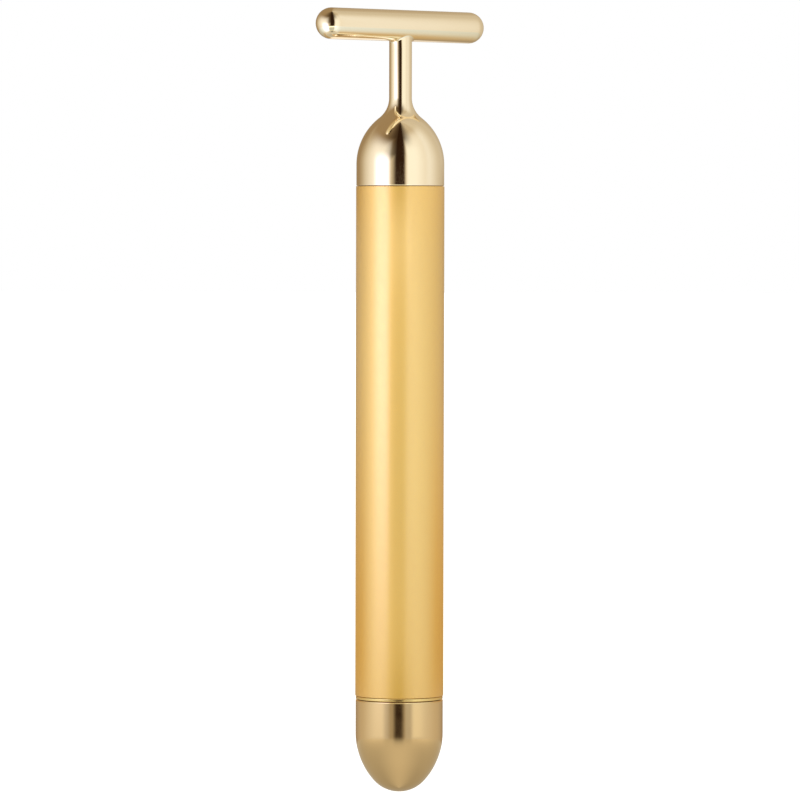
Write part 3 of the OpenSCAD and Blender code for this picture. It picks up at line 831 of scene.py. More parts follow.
def stacking_tree() -> Tree:
    """Stacks copies of a plate along Z.

    Returns:
        A tree with Count and Step.
    """
    tree = Tree("stacking")
    tree.number("Count", whole=True)
    tree.number("Step")
    offset = tree.add("ShaderNodeCombineXYZ", Z=tree.given("Step")).outputs[0]
    row = tree.add("GeometryNodeMeshLine", Count=tree.given("Count"), Offset=offset).outputs[0]
    stack = tree.add("GeometryNodeInstanceOnPoints", Points=row, Instance=tree.source.outputs["Geometry"])
    tree.close(stack.outputs[0])
    return tree


class Workshop:
    """The three Geometry Nodes trees that the pieces are made with."""

    SEGMENTS = 128
    SMALL_SEGMENTS = 64
    SEAL_SEGMENTS = 160
    THREAD_SEGMENTS = 96
    THREAD_RUN_OUT = 0.08

    def __init__(self) -> None:
        self.turning = turning_tree()
        self.wire = wire_tree()
        self.stacking = stacking_tree()

    def turn(
        self, name: str, outline: Outline, finish: Finish, closed: bool = False, segments: int = SEGMENTS
    ) -> bpy.types.Object:
        """Turns an outline into a piece.

        Args:
            name: The piece's name.
            outline: Its profile. An open one begins and ends on the axis.
            finish: Its finish.
            closed: Whether the profile goes all the way round, as that of a tube does.
            segments: Faces round the axis.

        Returns:
            The piece.
        """
        points = outline.points(closed)
        if closed:
            points.append(points[0])
        line = [(r, 0.0, z) for r, z in points]
        start = plain_mesh(name, line, [(i, i + 1) for i in range(len(line) - 1)], [])
        return self.turning.grow(name, start, finish, Segments=segments, Turns=1.0)

    def thread(self, name: str, ridge: "Ridge", finish: Finish) -> bpy.types.Object:
        """Cuts one helical ridge."""
        points = ridge.profile()
        line = [(r, 0.0, z) for r, z in points + points[:1]]
        start = plain_mesh(name, line, [(i, i + 1) for i in range(len(line) - 1)], [])
        return self.turning.grow(
            name, start, finish, Segments=round(self.THREAD_SEGMENTS * ridge.turns), Turns=ridge.turns,
            Pitch=ridge.pitch * MM, Root_Radius=ridge.root * MM,
            Root_Level=(ridge.low + ridge.root_width / 2) * MM, Run_Out=self.THREAD_RUN_OUT,
        )

    def run_wires(
        self, name: str, paths: Sequence[Sequence[Triple]], radius: float, finish: Finish, sides: int = 12
    ) -> bpy.types.Object:
        """Runs wires of one thickness along paths in millimetres.

        Args:
            name: The piece's name.
            paths: One or more paths.
            radius: Radius of the wire.
            finish: The piece's finish.
            sides: Faces round the wire.

        Returns:
            The piece.
        """
        points: list[Triple] = []
        edges: list[tuple[int, int]] = []
        for path in paths:
            edges += [(len(points) + i, len(points) + i + 1) for i in range(len(path) - 1)]
            points += path
        start = plain_mesh(name, points, edges, [])
        return self.wire.grow(name, start, finish, Wire_Radius=radius * MM, Sides=sides)

    def stack(
        self, name: str, plate: Plate, level: float, count: int, step: float, finish: Finish
    ) -> bpy.types.Object:
        """Stacks copies of a plate upwards from a level, in millimetres."""
        return self.stacking.grow(name, plate.mesh(name, level), finish, Count=count, Step=step * MM)

    def seal(self, name: str, middle_r: float, level: float, section: float) -> bpy.types.Object:
        """Makes a round sealing ring, by its middle radius, its level and its thickness."""
        outline = Outline().arc((middle_r, level), section / 2, *CIRCLE)
        return self.turn(name, outline, SEAL_RUBBER, closed=True, segments=self.SEAL_SEGMENTS)


@dataclass(frozen=True)
class Ridge:
    """One helical ridge of a thread, in millimetres."""

    root: float
    crest: float
    low: float
    turns: float
    pitch: float
    crest_width: float = 0.35
    root_width: float = 0.95
    sunk: float = 0.12

    def profile(self) -> list[Point]:
        """The ridge's section, with its foot sunk into the wall that carries it."""
        out = 1.0 if self.crest > self.root else -1.0
        foot = self.root - out * self.sunk
        half_root = self.root_width / 2
        half_crest = self.crest_width / 2
        middle = self.low + half_root
        return [
            (foot, middle - half_root),
            (self.root, middle - half_root),
            (self.crest, middle - half_crest),
            (self.crest, middle + half_crest),
            (self.root, middle + half_root),
            (foot, middle + half_root),
        ]


def fit(piece: bpy.types.Object, body: Body, finish: Finish, *nodes: str) -> None:
    """Gives a piece its body and its finish, and hides the CAD nodes that it stands for.

    Args:
        piece: The finished piece.
        body: The body that carries it.
        finish: Its finish.
        *nodes: CAD nodes that it replaces.
    """
    if not piece.data.materials:
        piece.data.materials.append(finish.material())
    if nodes:
        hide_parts(*nodes)
    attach(piece, body.value)
    log.info("%s on %s: %d faces", piece.name, body.value, len(piece.data.polygons))


def dress(node: str, finish: Finish) -> None:
    """Gives a CAD node its finish and leaves its mesh alone."""
    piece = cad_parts[node]
    material = finish.material()
    if not piece.material_slots:
        piece.data.materials.append(material)
    for place in piece.material_slots:
        place.material = material
    log.info("%s keeps its CAD form in %s", node, finish.slot)


# The object's sub-assemblies


class SubAssembly(ABC):
    """A group of pieces that is made and dressed together."""

    @abstractmethod
    def build(self, workshop: Workshop) -> None:
        """Makes the group's pieces with the workshop's trees and dresses them."""


@dataclass
class MassageHead(SubAssembly):
    """Cross bar, neck, dome and spigot: one polished casting, with its sealing ring."""

    bar_d: float = 6.2
    neck_d: float = 4.5
    bar_blend: float = 0.7
    neck_sweep: float = 5.0
    dome_skirt: float = 4.3
    dome_arch: float = 11.7
    dome_wall: float = 1.6
    dome_core: float = 10.0
    edge: float = 0.12
    seam: float = 0.09
    seam_depth: float = 0.5
    spigot_r: float = 7.4
    hollow_r: float = 6.05
    groove_drop: float = 2.2
    groove_w: float = 0.86
    groove_r: float = 6.69
    seal_r: float = 7.07
    seal_d: float = 0.66
    patch_half: float = 4.0
    patch_turn: float = 75.0
    ring_sides: int = 96
    patch_columns: int = 16
    patch_rows: int = 8
    blend_rows: int = 6
    bar_columns: int = 14
    end_rows: int = 16
    neck_rows: int = 10
    hollow_steps: int = 10
    arch_steps: int = 44
    sweep_steps: int = 14
    sweep_skip: float = 3.0

    def __post_init__(self) -> None:
        low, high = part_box("massage_head")
        self.z_top = Span.of("barrel").high
        self.z_bar = high.z / MM - self.bar_d / 2
        self.reach = high.x / MM - self.bar_d / 2
        self.dome_r = high.y / MM
        self.z_spigot = low.z / MM
        self.patch_sides = round(2 * self.patch_turn * self.ring_sides / 360)
        self.segments = 2 * (self.patch_sides + self.patch_columns)

    def outline(self) -> Outline:
        """The turned part, from the hollow's top down, round the spigot and up to the blend."""
        bar_r = self.bar_d / 2
        neck_r = self.neck_d / 2
        arch_x = self.dome_r - self.dome_arch
        sweep_x = neck_r + self.neck_sweep
        rise = math.sqrt((self.dome_arch + self.neck_sweep) ** 2 - (sweep_x - arch_x) ** 2)
        lean = math.degrees(math.atan2(rise, sweep_x - arch_x))
        skirt_z = self.z_top + self.dome_skirt
        inner = self.dome_arch - self.dome_wall
        core_z = self.dome_core - self.dome_skirt
        top_turn = math.degrees(math.asin(core_z / inner))
        low_turn = math.degrees(math.acos((self.hollow_r - arch_x) / inner))
        groove_z = self.z_top - self.groove_drop
        line = Outline()
        line.to(0, self.z_top + self.dome_core)
        line.arc((arch_x, skirt_z), inner, top_turn, low_turn, self.hollow_steps)
        line.run(
            (self.hollow_r, self.z_spigot), (self.spigot_r, self.z_spigot, self.edge),
            (self.spigot_r, groove_z - self.groove_w / 2),
            (self.groove_r, groove_z - self.groove_w / 2),
            (self.groove_r, groove_z + self.groove_w / 2),
            (self.spigot_r, groove_z + self.groove_w / 2), (self.spigot_r, self.z_top),
            (self.dome_r - self.seam_depth, self.z_top),
            (self.dome_r, self.z_top + self.seam, self.edge),
            (self.dome_r, self.z_top + self.dome_skirt / 2),
        )
        line.arc((arch_x, skirt_z), self.dome_arch, 0, lean, self.arch_steps)
        start = lean + 180 - self.sweep_skip
        line.arc((sweep_x, skirt_z + rise), self.neck_sweep, start, 180, self.sweep_steps)
        neck_low = skirt_z + rise
        neck_high = self.z_bar - bar_r - self.bar_blend
        for step in range(1, self.neck_rows):
            line.to(neck_r, neck_low + (neck_high - neck_low) * step / self.neck_rows)
        return line

    def under(self, y: float) -> float:
        """Level of the bar's underside at a distance from its middle line."""
        return self.z_bar - math.sqrt((self.bar_d / 2) ** 2 - y * y)

    def blend_line(self, angle: float) -> list[Triple]:
        """The blend from neck to bar at one angle, as the points of a soft corner."""
        neck_r = self.neck_d / 2
        y = neck_r * math.sin(angle)
        slope = math.atan2(y * math.sin(angle), math.sqrt((self.bar_d / 2) ** 2 - y * y))
        reach = self.bar_blend / math.tan((math.pi / 2 + slope) / 2)
        out = neck_r + reach * math.cos(slope)
        low = np.array((neck_r, self.under(y) - reach))
        corner = np.array((neck_r, self.under(y)))
        high = np.array((out, self.under(out * math.sin(angle))))
        points = []
        for row in range(self.blend_rows + 1):
            s = row / self.blend_rows
            r, z = (1 - s) ** 2 * low + 2 * s * (1 - s) * corner + s * s * high
            points.append((r * math.cos(angle), r * math.sin(angle), z))
        return points

    def on_bar(self, x: float, turn: float) -> Triple:
        """A point on the bar, with the turn counted from its underside towards +Y."""
        bar_r = self.bar_d / 2
        return (x, bar_r * math.sin(turn), self.z_bar - bar_r * math.cos(turn))

    def build(self, workshop: Workshop) -> None:
        """Makes the casting and the ring in its groove."""
        fit(self.casting(), Body.HANDLE, HEAD_GOLD, "massage_head")
        seal = workshop.seal("head_ring", self.seal_r, self.z_top - self.groove_drop, self.seal_d)
        fit(seal, Body.HANDLE, SEAL_RUBBER, "head_seal")

    def casting(self) -> bpy.types.Object:
        """Builds the head as one closed mesh of quads, with poles only at its ends."""
        skin = Skin()
        angles = [2 * math.pi * i / self.segments for i in range(self.segments)]
        last = skin.climb(
            [(0, 0, z)] if r < 1e-6 else [(r * math.cos(a), r * math.sin(a), z) for a in angles]
            for r, z in self.outline().points(False)
        )
        last = skin.climb(zip(*(self.blend_line(a) for a in angles)), last)
        keys = [self.rim_key(i) for i in range(self.segments)]
        step = 2 * self.patch_half / self.patch_columns
        side_turn = 2 * math.pi / self.ring_sides
        corners = [(column * step, side * side_turn) for column, side in keys]
        inner = [(skin.points[i][0], math.asin(skin.points[i][1] / (self.bar_d / 2))) for i in last]
        for row in range(1, self.patch_rows):
            s = row / self.patch_rows
            ways = zip(inner, corners)
            ring = [self.on_bar(a[0] + s * (b[0] - a[0]), a[1] + s * (b[1] - a[1])) for a, b in ways]
            last = skin.climb([ring], last)
        rim = self.add_bar(skin)
        skin.join(last, [rim[key] for key in keys])
        return new_object("head", skin.mesh("head"))

    def rim_key(self, i: int) -> tuple[int, int]:
        """Column and side on the bar's grid of the i-th point round the patch, from +X by way of +Y."""
        half, columns = self.patch_sides // 2, self.patch_columns
        if i <= half:
            return columns // 2, i
        if i <= half + columns:
            return columns // 2 - (i - half), half
        if i <= 3 * half + columns:
            return -columns // 2, half - (i - half - columns)
        if i <= 3 * half + 2 * columns:
            return -columns // 2 + (i - 3 * half - columns), -half
        return columns // 2, i - self.segments

    def add_bar(self, skin: Skin) -> dict[tuple[int, int], int]:
        """Adds the bar with its round ends, open where the patch goes.

        Args:
            skin: The head's mesh so far.

        Returns:
            The number of each point of the bar's grid, by column and side.
        """
        half_columns = self.patch_columns // 2
        half_sides = self.patch_sides // 2
        half_ring = self.ring_sides // 2
        sides = range(-half_ring, half_ring)
        turns = [2 * math.pi * side / self.ring_sides for side in sides]
        step = 2 * self.patch_half / self.patch_columns
        span = self.reach - self.patch_half
        outer = [self.patch_half + span * k / self.bar_columns for k in range(1, self.bar_columns + 1)]
        middle = [k * step for k in range(-half_columns, half_columns + 1)]
        places = [-x for x in reversed(outer)] + middle + outer
        first = -half_columns - len(outer)
        final = first + len(places) - 1
        grid: dict[tuple[int, int], int] = {}
        for column, x in enumerate(places, first):
            for side, turn in zip(sides, turns):
                if abs(column) >= half_columns or abs(side) >= half_sides:
                    grid[column, side] = skin.ring([self.on_bar(x, turn)])[0]
        for column in range(first, final):
            for side in sides:
                if abs(column + 0.5) < half_columns and abs(side + 0.5) < half_sides:
                    continue
                after = side + 1 if side + 1 < half_ring else -half_ring
                corners = ((column, side), (column + 1, side), (column + 1, after), (column, after))
                skin.faces.append(tuple(grid[c] for c in corners))
        bar_r = self.bar_d / 2
        for end, column in ((-1, first), (1, final)):
            last: Sequence[int] = [grid[column, side] for side in sides]
            for row in range(1, self.end_rows):
                tilt = math.pi / 2 * row / self.end_rows
                x = end * (self.reach + bar_r * math.sin(tilt))
                r = bar_r * math.cos(tilt)
                ring = [(x, r * math.sin(t), self.z_bar - r * math.cos(t)) for t in turns]
                last = skin.climb([ring], last)
            skin.join(skin.ring([(end * (self.reach + bar_r), 0.0, self.z_bar)]), last)
        return grid


@dataclass
class Handle(SubAssembly):
    """The satin barrel with the female thread at its mouth."""

    wall: float = 1.3
    edge: float = 0.1
    seal_land: float = 1.8
    land_r: float = 7.95
    thread_pitch: float = 1.5
    thread_turns: float = 3.0
    thread_r: float = 7.9
    ridge_short: float = 0.6

    def outline(self) -> Outline:
        """The tube's section: land, threaded bore and plain bore."""
        span = Span.of("barrel")
        bore_r = span.radius - self.wall
        z_thread = span.low + self.seal_land
        z_end = z_thread + self.thread_pitch * self.thread_turns
        return Outline().run(
            (self.land_r, span.low), (span.radius, span.low, self.edge),
            (span.radius, span.high, self.edge), (bore_r, span.high),
            (bore_r, z_end + self.thread_r - bore_r), (self.thread_r, z_end),
            (self.thread_r, z_thread), (self.land_r, z_thread),
        )

    def ridge(self) -> Ridge:
        """The female thread's ridge, which stands inwards from the bore."""
        span = Span.of("barrel")
        low = span.low + self.seal_land
        crest = span.radius - self.wall
        return Ridge(self.thread_r, crest, low, self.thread_turns - self.ridge_short, self.thread_pitch)

    def build(self, workshop: Workshop) -> None:
        """Turns the tube and cuts its thread."""
        tube = workshop.turn("barrel_tube", self.outline(), SATIN_GOLD, closed=True)
        fit(tube, Body.HANDLE, SATIN_GOLD, "barrel")
        fit(workshop.thread("barrel_thread", self.ridge(), SATIN_GOLD), Body.HANDLE, SATIN_GOLD)


@dataclass
class ClosingCap(SubAssembly):
    """The domed cap, its screw plug with the bright flange, the plug's sealing ring and the spring."""

    skirt: float = 6.6
    nose: float = 6.7
    wall: float = 1.65
    edge: float = 0.15
    rim_edge: float = 0.2
    flange_edge: float = 0.1
    seam: float = 0.09
    low_seam: float = 0.13
    seam_depth: float = 0.6
    boss_len: float = 5.5
    pocket_r: float = 4.5
    joint_gap: float = 0.1
    flange_h: float = 0.75
    seal_land: float = 1.8
    land_r: float = 7.9
    core_r: float = 7.4
    crest_r: float = 7.85
    cup_r: float = 6.0
    cup_drop: float = 1.65
    cup_floor: float = 2.0
    lead_in: float = 0.3
    groove_w: float = 0.86
    groove_r: float = 7.19
    seal_r: float = 7.57
    seal_d: float = 0.66
    spring_wire: float = 0.8
    spring_seat_r: float = 4.1
    spring_base_d: float = 9.4
    spring_tip_d: float = 6.4
    spring_turns: float = 4.5
    spring_flat: float = 0.5
    spring_steps: int = 40
    thread_pitch: float = 1.5
    thread_turns: float = 3.0
    ridge_short: float = 1.13
    seat_edge: float = 0.1
    pole_skip: float = 6.0
    side_skip: float = 2.0
    nose_skip: float = 2.5
    hollow_steps: tuple[int, int] = (8, 6)
    side_steps: int = 40
    nose_steps: int = 24

    def __post_init__(self) -> None:
        self.cap = Span.of("end_cap")
        self.plug = Span.of("cap_plug")
        self.z_barrel = Span.of("barrel").low

    def cap_outline(self) -> Outline:
        """The cap: hollow for the plug's boss, skirt, side arch and round nose."""
        arch_h = self.cap.high - self.skirt
        radius = self.cap.radius
        side = (radius ** 2 + (arch_h - self.nose) ** 2 - self.nose ** 2) / (2 * (radius - self.nose))
        side_x = radius - side
        turn = math.degrees(math.atan2(arch_h - self.nose, -side_x))
        boss_r = radius - self.wall
        ledge_z = self.cap.high - self.boss_len - self.joint_gap
        inner_nose = self.nose - self.wall
        inner_side = side - self.wall
        reach = math.degrees(math.acos((self.pocket_r - side_x) / inner_side))
        line = Outline()
        line.to(0, self.nose - inner_nose)
        if reach < turn:
            line.arc((0, self.nose), inner_nose, self.pole_skip - 90, -turn, self.hollow_steps[0])
            line.arc((side_x, arch_h), inner_side, self.side_skip - turn, -reach, self.hollow_steps[1])
        else:
            end = math.degrees(math.acos(self.pocket_r / inner_nose))
            line.arc((0, self.nose), inner_nose, self.pole_skip - 90, -end, self.hollow_steps[0])
        line.run(
            (self.pocket_r, ledge_z), (boss_r, ledge_z), (boss_r, self.cap.high),
            (radius, self.cap.high, self.rim_edge), (radius, arch_h + self.skirt / 2),
        )
        line.arc((side_x, arch_h), side, 0, -turn, self.side_steps)
        line.arc((0, self.nose), self.nose, -turn - self.nose_skip, -90, self.nose_steps)
        return line

    def plug_outline(self) -> Outline:
        """The plug: boss, flange, land with its groove, threaded core, cup and spring seat."""
        z = self.z_barrel
        flange = z - self.flange_h
        floor_z = z - self.cup_drop
        boss_z = flange - self.boss_len
        boss_r = self.cap.radius - self.wall
        mid = z + self.seal_land / 2
        land_top = z + self.seal_land - self.joint_gap
        return Outline().run(
            (0, floor_z - self.cup_floor), (self.pocket_r, floor_z - self.cup_floor),
            (self.pocket_r, boss_z), (boss_r, boss_z, self.edge), (boss_r, flange),
            (self.plug.radius - self.seam_depth, flange),
            (self.plug.radius, flange + self.low_seam, self.flange_edge),
            (self.plug.radius, z - self.seam, self.flange_edge),
            (self.plug.radius - self.seam_depth, z), (self.land_r, z),
            (self.land_r, mid - self.groove_w / 2), (self.groove_r, mid - self.groove_w / 2),
            (self.groove_r, mid + self.groove_w / 2), (self.land_r, mid + self.groove_w / 2),
            (self.land_r, land_top), (self.core_r, land_top),
            (self.core_r, self.plug.high, self.lead_in), (self.cup_r, self.plug.high),
            (self.cup_r, floor_z), (self.spring_seat_r, floor_z),
            (self.spring_seat_r - self.spring_wire / 2, floor_z + self.spring_wire, self.seat_edge),
            (0, floor_z + self.spring_wire),
        )

    def ridge(self) -> Ridge:
        """The plug's right-hand ridge, which runs in the groove beside the barrel's own."""
        low = self.z_barrel + self.seal_land + self.thread_pitch / 2
        turns = self.thread_turns - self.ridge_short
        return Ridge(self.core_r, self.crest_r, low, turns, self.thread_pitch)

    def spring_path(self) -> list[Triple]:
        """The spring's wire: it narrows upwards, lies flat at both ends and runs out straight there."""
        low = self.z_barrel - self.cup_drop
        rise = Span.of("battery_cell").low - low - self.spring_wire
        turning = []
        count = round(self.spring_turns * self.spring_steps)
        for step in range(count + 1):
            turn = step / self.spring_steps
            radius = (self.spring_base_d + (self.spring_tip_d - self.spring_base_d) * step / count) / 2
            share = (turn - self.spring_flat) / (self.spring_turns - 2 * self.spring_flat)
            level = low + self.spring_wire / 2 + rise * min(1.0, max(0.0, share))
            spot = 2 * math.pi * turn
            turning.append(Vector((radius * math.cos(spot), radius * math.sin(spot), level)))
        first = turning[0] + (turning[0] - turning[1]).normalized() * self.spring_wire
        last = turning[-1] + (turning[-1] - turning[-2]).normalized() * self.spring_wire
        return [tuple(p) for p in (first, *turning, last)]

    def build(self, workshop: Workshop) -> None:
        """Turns the cap and its plug, cuts the thread and winds the spring."""
        fit(workshop.turn("cap_dome", self.cap_outline(), CAP_GOLD), Body.CAP, CAP_GOLD, "end_cap")
        fit(workshop.turn("screw_plug", self.plug_outline(), RING_GOLD), Body.CAP, RING_GOLD, "cap_plug")
        fit(workshop.thread("plug_thread", self.ridge(), RING_GOLD), Body.CAP, RING_GOLD)
        seal = workshop.seal("plug_ring", self.seal_r, self.z_barrel + self.seal_land / 2, self.seal_d)
        fit(seal, Body.CAP, SEAL_RUBBER, "cap_seal")
        wire_r = self.spring_wire / 2
        spring = workshop.run_wires("wound_spring", [self.spring_path()], wire_r, SPRING_STEEL, sides=20)
        fit(spring, Body.CAP, SPRING_STEEL, "battery_spring")


@dataclass
class Battery(SubAssembly):
    """The cell and the film that is shrunk round it."""

    film: float = 0.15
    can_play: float = 0.01
    end_disc_r: float = 4.95
    end_step: float = 0.3
    lip: float = 1.2
    button_r: float = 2.75
    vent_r: float = 4.3
    vent_depth: float = 0.15
    corner: float = 0.4
    foot_edge: float = 0.12
    lip_edge: float = 0.1
    vent_edge: float = 0.08
    vent_foot: float = 0.05

    def __post_init__(self) -> None:
        self.cell = Span.of("battery_cell")
        self.sleeve = Span.of("battery_sleeve")
        self.can_r = self.sleeve.radius - self.film

    def cell_outline(self) -> Outline:
        """The can with its end disc below and its rolled shoulder and button above."""
        low, high = self.cell.low, self.cell.high
        can_r = self.can_r - self.can_play
        shoulder = self.sleeve.high - self.film
        plate = shoulder - self.end_step
        return Outline().run(
            (0, low), (self.end_disc_r, low, self.foot_edge), (self.end_disc_r, low + self.end_step),
            (can_r, low + self.end_step, self.corner), (can_r, shoulder, self.corner),
            (self.can_r - self.lip, shoulder, self.lip_edge),
            (self.can_r - self.lip - self.end_step, plate, self.lip_edge),
            (self.vent_r, plate, self.vent_edge),
            (self.vent_r - self.vent_depth, plate - self.vent_depth, self.vent_foot),
            (self.button_r + 4 * self.vent_depth, plate - self.vent_depth, self.vent_foot),
            (self.button_r + 3 * self.vent_depth, plate, self.vent_edge),
            (self.button_r, plate, self.foot_edge), (self.button_r, high, self.end_step), (0, high),
        )

    def film_outline(self) -> Outline:
        """The film's section, turned in over both ends of the can."""
        low, high = self.sleeve.low, self.sleeve.high
        mouth = self.can_r - self.lip
        return Outline().run(
            (mouth, low), (self.sleeve.radius, low, self.corner + self.film),
            (self.sleeve.radius, high, self.corner + self.film), (mouth, high),
            (mouth, high - self.film), (self.can_r, high - self.film, self.corner),
            (self.can_r, low + self.film, self.corner), (mouth, low + self.film),
        )

    def build(self, workshop: Workshop) -> None:
        """Makes the cell and its film."""
        cell = workshop.turn("cell_can", self.cell_outline(), CELL_METAL)
        fit(cell, Body.SLIDER, CELL_METAL, "battery_cell")
        film = workshop.turn("cell_film", self.film_outline(), SLEEVE_FILM, closed=True)
        fit(film, Body.SLIDER, SLEEVE_FILM, "battery_sleeve")


@dataclass
class MotorCarrier(SubAssembly):
    """The moulding that nests the motor, with its two contacts and its two leads."""

    lead_d: float = 1.0
    collar_d: float = 1.26
    collar: float = 1.3
    clip_collar: float = 0.6
    bend: float = 1.0
    steps: int = 32
    tab_x: float = 3.6
    tab_len: float = 3.0
    contact_x: float = 2.4
    contact_t: float = 0.4
    clip_foot: float = 5.506
    clip_foot_h: float = 1.0

    def __post_init__(self) -> None:
        self.z_tab = motor_level() - self.tab_len
        self.z_contact = Span.of("positive_contact").high
        self.z_clip = Span.of("earth_clip").low

    def rising_path(self) -> list[Triple]:
        """The positive lead's way: straight out of the contact, an S, and straight into the motor's tab."""
        rise = self.z_tab - self.z_contact - 2 * self.lead_d
        path = [(self.contact_x, 0.0, self.z_contact)]
        for step in range(self.steps + 1):
            s = step / self.steps
            x = self.contact_x + (self.tab_x - self.contact_x) * (1 - math.cos(math.pi * s)) / 2
            path.append((x, 0.0, self.z_contact + self.lead_d + rise * s))
        path.append((self.tab_x, 0.0, self.z_tab))
        return path

    def turning_path(self) -> list[Triple]:
        """The negative lead's way: down from the motor's tab and round into the clip's foot."""
        level = self.z_clip + self.clip_foot_h / 2
        path = [(-self.tab_x, 0.0, self.z_tab), (-self.tab_x, 0.0, (self.z_tab + level + self.bend) / 2)]
        for step in range(self.steps // 2 + 1):
            turn = math.pi * step / self.steps
            x = -self.tab_x - self.bend * (1 - math.cos(turn))
            path.append((x, 0.0, level + self.bend * (1 - math.sin(turn))))
        path.append((self.contact_t / 2 - self.clip_foot, 0.0, level))
        return path

    def collar_path(self, path: Sequence[Triple], length: float) -> list[Triple]:
        """The first stretch of a path, for the sleeve that covers its joint.

        Args:
            path: The lead's path, from the joint on.
            length: How far the sleeve reaches.

        Returns:
            Points of the stretch.
        """
        start, along = Vector(path[0]), Vector(path[1]) - Vector(path[0])
        return [tuple(start + along.normalized() * length * k / 3) for k in range(4)]

    def lead(
        self, workshop: Workshop, name: str, path: Sequence[Triple], ends: Point, finish: Finish
    ) -> bpy.types.Object:
        """Makes one insulated lead with a sleeve on each joint.

        Args:
            workshop: The trees.
            name: The piece's name.
            path: The lead's path.
            ends: Length of the sleeve at the path's start and at its end.
            finish: The lead's finish.

        Returns:
            The piece.
        """
        wire = workshop.run_wires(name, [path], self.lead_d / 2, finish, sides=20)
        sleeves = [self.collar_path(path, ends[0]), self.collar_path(path[::-1], ends[1])]
        collars = workshop.run_wires(name + "_collars", sleeves, self.collar_d / 2, finish, sides=20)
        return merged(wire, collars)

    def build(self, workshop: Workshop) -> None:
        """Dresses the moulding and the stampings, and makes the leads."""
        dress("motor_carrier", CARRIER_PLASTIC)
        dress("positive_contact", CONTACT_BRASS)
        dress("earth_clip", CONTACT_BRASS)
        red_ends = (self.lead_d, self.lead_d)
        red = self.lead(workshop, "red_lead", self.rising_path(), red_ends, RED_INSULATION)
        fit(red, Body.HANDLE, RED_INSULATION, "positive_lead")
        black_ends = (self.collar, self.clip_collar)
        black = self.lead(workshop, "black_lead", self.turning_path(), black_ends, BLACK_INSULATION)
        fit(black, Body.HANDLE, BLACK_INSULATION, "negative_lead")


@dataclass
class Motor(SubAssembly):
    """The motor's fixed pieces: drawn can, end bell, magnets, bushes and brushes."""

    length: float = 20.0
    radius: float = 6.0
    wall: float = 0.5
    bell_flange: float = 1.2
    bell_h: float = 3.0
    boss_h: float = 1.2
    boss_r: float = 2.4
    bush_r: float = 1.75
    bore_r: float = 0.77
    front_bush: float = 2.4
    rear_bush: float = 3.5
    corner: float = 0.7
    inner_corner: float = 0.3
    mouth_edge: float = 0.12
    boss_foot: float = 0.18
    boss_edge: float = 0.25
    chamfer: float = 0.14

    def __post_init__(self) -> None:
        self.z = motor_level()

    def can_outline(self) -> Outline:
        """The drawn can: a tube with a round front corner and a bearing boss."""
        face = self.z + self.length
        return Outline().run(
            (self.bush_r, face - self.wall), (self.radius - self.wall, face - self.wall, self.inner_corner),
            (self.radius - self.wall, self.z + self.bell_flange),
            (self.radius, self.z + self.bell_flange, self.mouth_edge), (self.radius, face, self.corner),
            (self.boss_r, face, self.boss_foot), (self.boss_r, face + self.boss_h, self.boss_edge),
            (self.bush_r, face + self.boss_h),
        )

    def bush_outline(self, low: float, height: float) -> Outline:
        """A plain bush with broken edges."""
        line = Outline()
        for radius, level in (
            (self.bore_r, low), (self.bush_r, low), (self.bush_r, low + height), (self.bore_r, low + height),
        ):
            line.to(radius, level, self.chamfer)
        return line

    def build(self, workshop: Workshop) -> None:
        """Turns the can and the bushes, and dresses the rest."""
        can = workshop.turn("drawn_can", self.can_outline(), MOTOR_STEEL, closed=True)
        fit(can, Body.HANDLE, MOTOR_STEEL, "motor_can")
        front = self.bush_outline(self.z + self.length + self.boss_h - self.front_bush, self.front_bush)
        rear = self.bush_outline(self.z - self.rear_bush + self.bell_h, self.rear_bush)
        for name, outline in (("front_bush", front), ("rear_bush", rear)):
            bush = workshop.turn(
                name + "_turned", outline, BUSH_BRONZE, closed=True, segments=workshop.SMALL_SEGMENTS
            )
            fit(bush, Body.HANDLE, BUSH_BRONZE, name)
        dress("motor_end_bell", BELL_PLASTIC)
        dress("motor_magnets", MAGNET_FERRITE)
        dress("positive_brush", CONTACT_BRASS)
        dress("negative_brush", CONTACT_BRASS)


